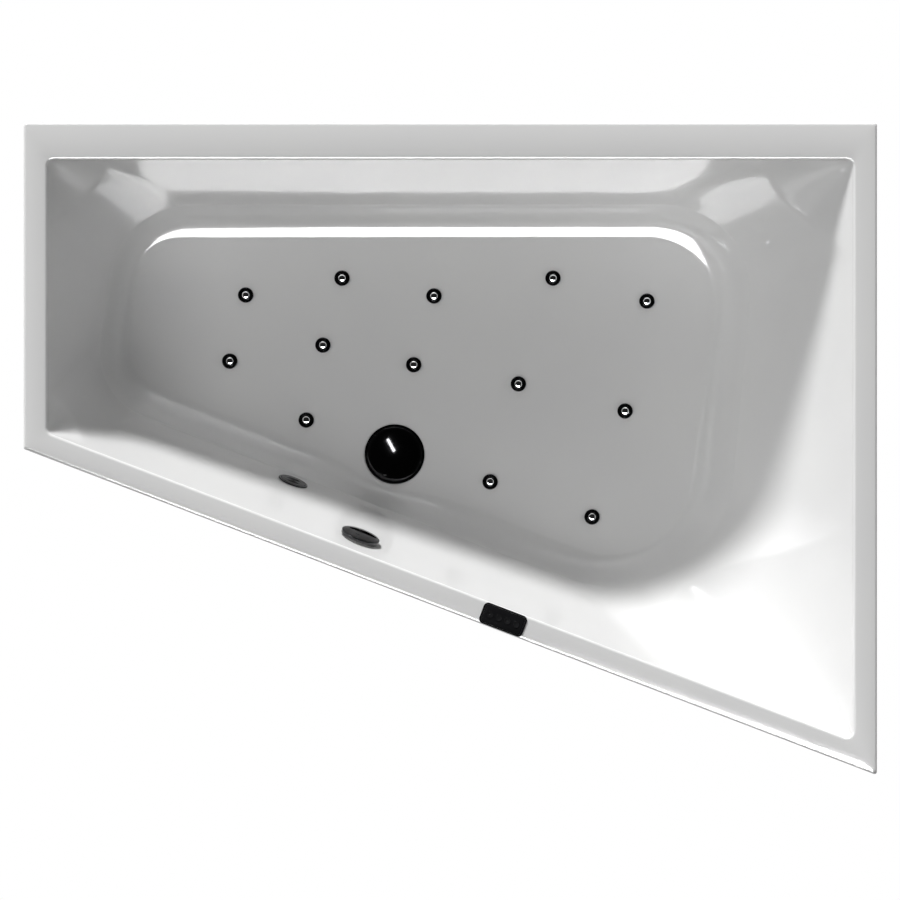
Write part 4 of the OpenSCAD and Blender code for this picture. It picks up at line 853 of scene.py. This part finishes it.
class TUB_OT_stage(Step, bpy.types.Operator):
    """Adds the camera, the lights and the white ground"""

    bl_idname = "tub.stage"
    bl_label = "Camera and light"

    # The camera's place over the tub, half the ground's side and its height, in metres
    CAMERA = (-0.0006, -0.002)
    SENSOR = 36
    GROUND, GROUND_Z = 6, -0.002
    # Where the suns stand, and each panel's place, aim and size in metres
    KEY_FROM, OVERHEAD_FROM = (-0.25, 0.86, 0.3), (-0.42, 0.0, 1.0)
    COVE_GLOSS = ((-0.25, -2.38, 3.78), (-0.05, 0.45, 0.16), (3.4, 3.0))
    DOME_STREAK = ((-0.42, 0.55, 4.4), (-0.119, -0.011, 0.17), (0.16, 0.9))

    def build(self, shape, settings):
        scene = bpy.context.scene
        camera = bpy.data.cameras.new("Camera")
        camera.lens = settings.lens
        camera.sensor_width = self.SENSOR
        scene.camera = add_object("Camera", camera)
        scene.camera.location = (*self.CAMERA, settings.camera_height + shape.p.rim_height * MM)

        scene.world = studio(settings)
        add_sun("Key", settings.key_power, settings.key_softness, self.KEY_FROM)
        overhead = add_sun("Overhead", settings.overhead_power, settings.overhead_softness, self.OVERHEAD_FROM)
        overhead.visible_glossy = False
        add_gloss("Cove gloss", *self.COVE_GLOSS, settings.gloss_power, "acrylic_skin", "jet_buttons")
        add_gloss("Dome streak", *self.DOME_STREAK, settings.streak_power, "waste_cover", "overflow_grip")
        corners = ((-1, -1), (1, -1), (1, 1), (-1, 1))
        ground = [(x * self.GROUND, y * self.GROUND, self.GROUND_Z) for x, y in corners]
        floor = new_piece("ground", ground, [(0, 1, 2, 3)], False)
        floor.data.materials.append(backdrop())
        scene.view_settings.view_transform = "Standard"


# The shell


def in_loop(q, loop, margin):
    """Whether a point lies inside a loop, and further than margin from its points."""
    inside = False
    near = math.inf
    for a, b in zip(loop, loop[1:] + loop[:1]):
        if (a.y > q.y) != (b.y > q.y) and q.x < a.x + (b.x - a.x) * (q.y - a.y) / (b.y - a.y):
            inside = not inside
        near = min(near, (q - a).length)
    return inside and near > margin


def joined_faces(rows, columns):
    """Quads of a closed surface whose points run profile by profile."""
    sides = [(i * rows, (i + 1) % columns * rows) for i in range(columns)]
    return [(a + k, b + k, b + k + 1, a + k + 1) for a, b in sides for k in range(rows - 1)]


# Rings down into the seat of the waste, as (radius, depth under the floor), and the steps round them
SEAT = ((68.8, 0.0), (66.0, 0.0), (65.5, 0.5), (65.2, 2.0), (28.0, 2.0))
SEAT_STEPS = 96
# The floor's own points: their spacing, their count to each side, and how far they keep from edge and waste
FLOOR_GRID, FLOOR_COUNTS = 40.0, (20, 16)
FLOOR_MARGIN, FLOOR_CLEAR = 14.0, 85.0
WELD = 0.02


def well_sheet(name, shape, rim):
    """The rim and well as one surface, its floor filled round the waste."""
    columns = shape.profiles() if rim else [shape.well_profile(i)[1:] for i in range(shape.count)]
    verts = [v for column in columns for v in column]
    faces = joined_faces(len(columns[0]), len(columns))
    edge = [Vector(column[-1][:2]) for column in columns]
    d = shape.drain
    rings = [[(x + d.x, y + d.y, z) for x, y, z in circle(r, shape.floor_z - deep, SEAT_STEPS)] for r, deep in SEAT]
    seat = [Vector(v[:2]) for v in rings[0]]

    # The flat floor, as triangles between its edge, the waste and a grid of points
    n_edge = len(edge)
    links = [(k, (k + 1) % n_edge) for k in range(n_edge)]
    links += [(n_edge + k, n_edge + (k + 1) % SEAT_STEPS) for k in range(SEAT_STEPS)]
    along, across = (range(-n, n + 1) for n in FLOOR_COUNTS)
    spread = [Vector((x * FLOOR_GRID, y * FLOOR_GRID)) for x in along for y in across]
    inside = [q for q in spread if (q - d).length > FLOOR_CLEAR and in_loop(q, edge, FLOOR_MARGIN)]
    points, _, triangles, _, _, _ = delaunay_2d_cdt(edge + seat + inside, links, [], 0, 1e-5)
    base = len(verts)
    verts += [(p.x, p.y, shape.floor_z) for p in points]
    for t in triangles:
        middle = sum((points[k] for k in t), Vector((0, 0))) / 3
        if in_loop(middle, edge, 0) and not in_loop(middle, seat, 0):
            faces.append(tuple(base + k for k in t))
    faces += ring_faces(len(rings), SEAT_STEPS, len(verts), False, False)
    verts += [v for ring in rings for v in ring]

    obj = new_piece(name, [Vector(v) * MM for v in verts], faces)
    bm = bmesh.new()
    bm.from_mesh(obj.data)
    bmesh.ops.remove_doubles(bm, verts=bm.verts, dist=WELD * MM)
    bmesh.ops.dissolve_degenerate(bm, edges=bm.edges, dist=WELD * MM)
    keep_mesh(bm, obj.data)
    return obj


# Radii of the holes in the sheet, the keypad's hole, and how far the cutters reach back and out
JET_HOLE, OVERFLOW_HOLE, LAMP_HOLE = 12.3, 23.0, 22.4
KEYPAD_HOLE = (76.0, 28.0, 2.0, 3)
THROUGH = (-20.0, 5.0)


def bore(obj, shape):
    """Cuts the jets', overflow's, lamp's and keypad's holes through a sheet."""
    cutters = [lathe("pin", rod(JET_HOLE, *THROUGH), 32, shift(*shape.spot(j), shape.floor_z)) for j in shape.JETS]
    cutters.append(lathe("pin", rod(OVERFLOW_HOLE, *THROUGH), 48, shape.overflow_frame()))
    cutters.append(lathe("pin", rod(LAMP_HOLE, *THROUGH), 48, shape.lamp_frame()))
    levels = [(0, z) for z in THROUGH]
    cutters.append(plate("pin", lambda d: rounded_outline(*KEYPAD_HOLE), levels, shape.keypad_frame()))
    cut(obj, cutters)


class TUB_OT_shell(Step, bpy.types.Operator):
    """Builds the acrylic skin"""

    bl_idname = "tub.shell"
    bl_label = "Shell"

    def build(self, shape, settings):
        skin = well_sheet("acrylic_skin", shape, rim=True)
        settle(skin, ("SOLIDIFY", {"thickness": shape.p.sheet * MM, "offset": -1.0}))
        bore(skin, shape)
        shade(skin, 40)
        fit(skin, acrylic(settings.acrylic), "tub_shell", "tub")


class TUB_OT_backing(Step, bpy.types.Operator):
    """Lays the rough fibreglass on the back of the well"""

    bl_idname = "tub.backing"
    bl_label = "Fibreglass"

    GAP = 0.3
    LAYER = 3.0

    def build(self, shape, settings):
        layer = well_sheet("fibreglass_layer", shape, rim=False)
        inner = settle(
            layer,
            ("DISPLACE", {"direction": "NORMAL", "strength": -(shape.p.sheet + self.GAP) * MM, "mid_level": 0.0}),
            ("SOLIDIFY", {"thickness": self.LAYER * MM, "offset": -1.0}),
        )
        bore(inner, shape)
        shade(inner, 40)
        fit(inner, fibreglass(), "fibreglass_backing", "tub")


# Fittings, whose profiles hold (radius, height) pairs in millimetres


class TUB_OT_jets(Step, bpy.types.Operator):
    """Sets a turned cap with its ring of air holes on each jet"""

    bl_idname = "tub.jets"
    bl_label = "Air jets"

    RING = (
        (0.0, -0.2), (15.9, -0.2), (16.5, 0.1), (16.5, 0.9), (16.2, 1.5), (15.6, 2.1), (14.8, 2.45), (13.6, 2.5),
        (10.6, 2.5), (10.2, 2.42), (9.9, 2.1), (9.75, 1.4), (0.0, 1.4),
    )
    BUTTON = (
        (0.0, 1.1), (8.6, 1.1), (8.5, 2.2), (8.2, 3.4), (7.6, 4.5), (6.6, 5.3), (5.2, 5.75), (3.6, 5.95), (1.6, 6.0),
        (0.0, 6.0),
    )
    HOLE = rod(0.8, 0.9, 3.2)
    HOLE_RING, HOLE_COUNT = 12.6, 8
    STEM = rod(4.5, -14.0, 0.0)
    RISE = 2.3

    def build(self, shape, settings):
        cap = lathe("jet_cap", self.RING, 64, sharp=50)
        cut(cap, [lathe("hole", self.HOLE, 16, shift(*at)) for at in circle(self.HOLE_RING, 0.0, self.HOLE_COUNT)])
        shade(cap, 50)
        places = [(*shape.spot(j), shape.floor_z + self.RISE) for j in shape.JETS]
        # The caps wear the near-black chrome, a painted dark reflection, and the buttons the bright chrome, so each
        # jet shows a dark ring round a bright middle.
        caps = scatter("jet_caps_turned", cap, places, chrome("dark_chrome", settings.fittings))
        buttons = scatter("jet_buttons", lathe("jet_button", self.BUTTON, 48, sharp=50), places, chrome())
        grey = moulded("jet_stem", (0.5, 0.5, 0.5), 0.4)
        stems = scatter("jet_stems", lathe("stem", self.STEM, 24), places, grey)
        for obj in (caps, buttons):
            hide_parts("jet_caps")
        for obj, finish in ((caps, "chrome"), (buttons, "chrome"), (stems, "dark_plastic")):
            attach(obj, "tub")


class TUB_OT_waste(Step, bpy.types.Operator):
    """Turns the waste's flange and its domed cover"""

    bl_idname = "tub.waste"
    bl_label = "Waste"

    FLANGE = (
        (22.0, -20.0), (22.0, -1.2), (22.6, -0.4), (23.6, -0.05), (58.0, 0.0), (63.2, 0.0), (63.8, -0.25),
        (64.0, -0.8), (64.0, -2.0), (26.0, -2.0), (26.0, -20.0), (22.0, -20.0),
    )
    # The cover's dome, its edge by the steps down from the dome, and its underside with the stem
    DOME = (11.0, 308.0, 57.4, 14)
    EDGE = ((57.9, 0.35), (58.0, 1.0))
    UNDER = (
        (58.0, 2.6), (57.6, 2.1), (56.8, 2.0), (48.6, 2.0), (48.0, 2.3), (48.0, 4.6), (47.4, 5.0), (42.4, 5.0),
        (4.0, 5.0), (4.0, -49.4), (3.4, -50.0), (0.0, -50.0),
    )

    def build(self, shape, settings):
        # Flange and cover wear the near-black chrome: painted dark reflection.
        look = chrome("dark_chrome", settings.fittings)
        base = shift(*shape.drain, shape.floor_z)
        flange = lathe("waste_flange", self.FLANGE, 128, base, 40)
        fit(flange, look, "drain_flange", "tub")

        crown = dome(*self.DOME)
        edge = [(r, crown[-1][1] - down) for r, down in self.EDGE]
        cover = lathe("waste_cover", (*crown, *edge, *self.UNDER), 160, base, 30)
        fit(cover, look, "drain_plug", "cover")


class TUB_OT_overflow(Step, bpy.types.Operator):
    """Turns the overflow's knob, and the lamp's bezel and lens"""

    bl_idname = "tub.overflow"
    bl_label = "Overflow and lamp"

    KNOB_DOME = (17.0, 162.5, 38.8, 12)
    KNOB = (
        (39.6, 11.8), (39.9, 11.2), (40.0, 10.4), (40.0, 5.3), (39.7, 4.7), (39.0, 4.5), (37.4, 4.5), (37.0, 4.8),
        (37.0, 7.0), (10.0, 7.0), (10.0, 4.5), (5.0, 4.5), (5.0, -36.0), (0.0, -36.0),
    )
    BEZEL = (
        (27.3, 0.0), (31.4, 0.0), (32.0, 0.5), (32.0, 1.4), (31.5, 2.3), (30.4, 2.9), (29.4, 3.0), (27.9, 3.0),
        (27.4, 2.7), (27.3, 2.2), (27.3, 0.0),
    )
    # The lens is ribbed in rings, each a little lower than the last
    RIBS, RIBS_R, RIB_W, GROOVE_Z, RIB_Z, RIB_FALL = 12, 25.6, 1.2, 3.1, 3.48, 0.018
    LENS_TOP = ((0.0, 3.5),)
    LENS_EDGE = ((26.6, 3.1), (27.0, 2.5), (27.0, 0.0), (22.0, 0.0), (22.0, -5.0), (0.0, -5.0))

    def build(self, shape, settings):
        # Knob and lamp bezel wear the near-black chrome: painted dark reflection.
        look = chrome("dark_chrome", settings.fittings)
        knob = lathe("overflow_grip", (*dome(*self.KNOB_DOME), *self.KNOB), 144, shape.overflow_frame(), 35)
        fit(knob, look, "overflow_knob", "knob")

        place = shape.lamp_frame()
        bezel = lathe("lamp_ring", self.BEZEL, 96, place, 40)
        fit(bezel, look, "light_bezel", "tub")
        ribs = []
        for n in range(1, self.RIBS + 1):
            x = self.RIBS_R * n / self.RIBS
            ribs += [(x - self.RIB_W, self.GROOVE_Z), (x, self.RIB_Z - self.RIB_FALL * n)]
        glass = lathe("lamp_glass", (*self.LENS_TOP, *ribs, *self.LENS_EDGE), 96, place, 25)
        fit(glass, dark_lens(), "light_lens", "tub")


class TUB_OT_panel(Step, bpy.types.Operator):
    """Makes the keypad on the rim with its bezel, gloss face and four keys"""

    bl_idname = "tub.panel"
    bl_label = "Keypad"

    # Length, width and corner radius of the bezel outside and inside, the face and the body
    OUTER, INNER = (92.0, 44.0, 10.0), (83.6, 37.6, 6.8)
    FACE_SIZE, BODY_SIZE = (83.0, 37.0, 6.5), (74.0, 26.0, 2.0)
    # Levels as (inset, height), where the bezel's inset is the share of the way from outside to inside
    BEZEL = (
        (0.0, 0.0), (0.0, 1.1), (0.07, 1.7), (0.25, 2.0), (0.8, 2.0), (0.95, 1.7), (1.0, 1.2), (1.0, 0.0), (0.0, 0.0),
    )
    FACE = ((0.4, 0.02), (0.0, 0.4), (0.0, 1.8), (0.25, 2.35), (0.9, 2.6))
    BODY = ((0.8, -24.0), (0.0, -23.2), (0.0, 0.0), (0.6, 0.2))
    KEY_PITCH = 18.5
    WELL = ((0.0, -1.0), (6.6, -1.0), (6.6, 2.2), (7.1, 2.7), (7.1, 4.0), (0.0, 4.0))
    # A key's middle is hollow or has a small pip, in turn
    HOLLOW = ((0.0, 2.7), (1.0, 2.68), (2.0, 2.6))
    PIP = ((0.0, 3.05), (0.7, 3.0), (1.1, 2.7), (2.0, 2.6))
    KEY = ((3.6, 2.72), (4.8, 3.05), (5.4, 3.3), (5.9, 3.4), (6.3, 3.25), (6.5, 2.8), (6.5, -4.0), (0.0, -4.0))

    def build(self, shape, settings):
        place = shape.keypad_frame()
        keys = [place @ shift((n - 1.5) * self.KEY_PITCH, 0) for n in range(4)]
        gloss = moulded("keypad_gloss", tuple(settings.keypad), 0.12, 0.6, 0.8)

        def bezel_outline(t):
            return rounded_outline(*(lerp(a, b, t) for a, b in zip(self.OUTER, self.INNER)))

        bezel = plate("keypad_bezel", bezel_outline, self.BEZEL, place, False, 30)
        fit(bezel, gloss, "panel_bezel", "tub")

        face = plate("keypad_face", lambda d: inset_outline(*self.FACE_SIZE, d), self.FACE, place, sharp=30)
        cut(face, [lathe("well", self.WELL, 64, key) for key in keys])
        body = plate("keypad_body", lambda d: inset_outline(*self.BODY_SIZE, d, 3), self.BODY, place, sharp=30)
        case = merge("keypad_case", [face, body])
        shade(case, 30)
        fit(case, gloss, "panel_base", "tub")

        soft = moulded("keypad_keys", (0.014, 0.014, 0.015), 0.2, 0.5)
        for n, centre in enumerate(keys):
            key = lathe(f"key_{n + 1}_cap", (*(self.HOLLOW if n % 2 else self.PIP), *self.KEY), 64, centre, 30)
            fit(key, soft, f"button_{n + 1}", f"key_{n + 1}")


# Under the tub

FEET = range(1, 6)


class TUB_OT_pipes(Step, bpy.types.Operator):
    """Bends the overflow pipe and the bowden cable"""

    bl_idname = "tub.pipes"
    bl_label = "Pipe and cable"

    # How far both stand behind the wall, how far they start under the overflow, the heights at which they
    # turn to the waste, how far from it they end, and the cable's way to the side
    BACK = 27
    PIPE_TOP, PIPE_Z, PIPE_END = 34.3, 115, -60
    CABLE_TOP, CABLE_Z, CABLE_END, CABLE_SIDE = 6, 97, -34, 38

    def build(self, shape, settings):
        s, z = shape.OVERFLOW[0] * shape.half_l, shape.p.rim_height - shape.OVERFLOW[1]
        sin_t, cos_t = math.sin(shape.tilt), math.cos(shape.tilt)
        sin_a, cos_a = math.sin(shape.angle), math.cos(shape.angle)

        def behind(along, down):
            """A point behind the wall, by its place along and down it from the overflow."""
            off = shape.wall_off(z) + down * sin_t - self.BACK * cos_t
            return shape.front(s + along * cos_a, off, z - down * cos_t - self.BACK * sin_t)

        def waste(v, u, level):
            """A point by its place along and across from the waste."""
            return Vector((shape.drain.x + cos_a * v + sin_a * u, shape.drain.y - sin_a * v + cos_a * u, level))

        def fall(level):
            return (z - self.BACK * sin_t - level) / cos_t

        path = [behind(0, self.PIPE_TOP), behind(0, fall(self.PIPE_Z)), waste(0, self.PIPE_END, self.PIPE_Z)]
        pipe = tube("overflow_tube", path, radius=16.0, bend=40, sides=48, bore=13.0)
        fit(pipe, moulded("pipe_white", (0.72, 0.72, 0.70), 0.35, 1.2, 0.2), "overflow_pipe", "tub")

        side = self.CABLE_SIDE
        path = [behind(side, self.CABLE_TOP), behind(side, fall(self.CABLE_Z))]
        path.append(waste(side, self.CABLE_END, self.CABLE_Z))
        cable = tube("bowden_sleeve", path, radius=3.0, bend=30, sides=24)
        fit(cable, moulded("cable_black", (0.02, 0.02, 0.02), 0.45, 0.8), "bowden_cable", "tub")


class TUB_OT_feet(Step, bpy.types.Operator):
    """Cuts the thread on each foot's stud"""

    bl_idname = "tub.feet"
    bl_label = "Feet"

    RADIUS, PITCH = 6.0, 1.75
    NUT = ((0.0, 14.3), (10.2, 14.3), (11.0, 15.0), (11.0, 21.6), (10.2, 22.3), (0.0, 22.3))

    def build(self, shape, settings):
        look = zinc()
        for n in FEET:
            low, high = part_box(f"foot_stud_{n}")
            place = Matrix.Translation(((low[0] + high[0]) / 2, (low[1] + high[1]) / 2, 0))
            stud = threaded(f"foot_thread_{n}", low[2] / MM, high[2] / MM, self.RADIUS, self.PITCH, place)
            obj = merge(f"foot_screw_{n}", [stud, lathe("nut", self.NUT, 6, place, 20)])
            shade(obj, 35)
            fit(obj, look, f"foot_stud_{n}", f"screw_{n}")


class TUB_OT_dress(Step, bpy.types.Operator):
    """Gives every CAD node that stays its own procedural material"""

    bl_idname = "tub.dress"
    bl_label = "Materials"

    def build(self, shape, settings):
        grey = moulded("pvc_grey", (0.16, 0.17, 0.18), 0.4, 1.4, 0.2)
        white = moulded("pvc_white", (0.74, 0.74, 0.72), 0.35, 1.6, 0.2)
        nut_grey = moulded("nut_grey", (0.32, 0.33, 0.34), 0.45, 1.4)
        finishes = (
            (galvanised(), ("perimeter_rails", "cross_rails", "rim_posts", "blower_tray", "wall_brackets")),
            (zinc(), ("frame_bolts", "lift_lever")),
            (chipboard(), ("base_board",)),
            (timber(), ("rim_battens",)),
            (rubber(), ("jet_gaskets", "plug_seal", "drain_gasket", "overflow_gasket", "blower_mounts", "valve_flap")),
            (moulded("foot_plastic", (0.03, 0.03, 0.03), 0.5), [f"foot_pad_{n}" for n in FEET]),
            (grey, ("jet_bodies", "air_manifold", "check_valve", "drain_body")),
            (nut_grey, ("jet_nuts", "trap_cap", "light_housing")),
            (white, ("trap_body", "overflow_body")),
            (hose(), ("air_hoses", "supply_hose")),
            (moulded("blower_shell", (0.05, 0.052, 0.056), 0.45, 1.0), ("blower_base", "blower_cover")),
            (moulded("impeller", (0.02, 0.02, 0.022), 0.4, 1.0), ("blower_impeller",)),
            (winding(), ("blower_stator",)),
            (moulded("box_grey", (0.5, 0.51, 0.52), 0.42, 1.4), ("control_box", "control_box_lid")),
            (moulded("cable_sheath", (0.02, 0.02, 0.021), 0.42, 0.9), ("light_cable", "power_cables")),
        )
        for look, nodes in finishes:
            for node in nodes:
                wear(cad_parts[node], look)


STEPS = ("shell", "jets", "waste", "overflow", "panel", "backing", "pipes", "feet", "dress", "stage")


class TUB_PT_panel(bpy.types.Panel):
    """Sidebar panel with the sizes, the light and one button for each group of pieces"""

    bl_label = "Jetted bathtub"
    bl_idname = "TUB_PT_panel"
    bl_space_type = "VIEW_3D"
    bl_region_type = "UI"
    bl_category = "Bathtub"

    def draw(self, context):
        column = self.layout.column()
        for settings in (context.scene.tub, context.scene.tub_look):
            for name in settings.bl_rna.properties.keys():
                if name not in ("rna_type", "name"):
                    column.prop(settings, name)
        for step in STEPS:
            column.operator("tub." + step)


CLASSES = (
    TubSettings, LookSettings, TUB_OT_shell, TUB_OT_jets, TUB_OT_waste, TUB_OT_overflow, TUB_OT_panel,
    TUB_OT_backing, TUB_OT_pipes, TUB_OT_feet, TUB_OT_dress, TUB_OT_stage, TUB_PT_panel,
)


def register():
    for cls in CLASSES:
        bpy.utils.register_class(cls)
    bpy.types.Scene.tub = PointerProperty(type=TubSettings)
    bpy.types.Scene.tub_look = PointerProperty(type=LookSettings)


def unregister():
    del bpy.types.Scene.tub_look, bpy.types.Scene.tub
    for cls in reversed(CLASSES):
        bpy.utils.unregister_class(cls)


def main():
    register()
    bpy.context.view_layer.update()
    for step in STEPS:
        getattr(bpy.ops.tub, step)()
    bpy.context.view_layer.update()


if __name__ == "__main__":
    main()
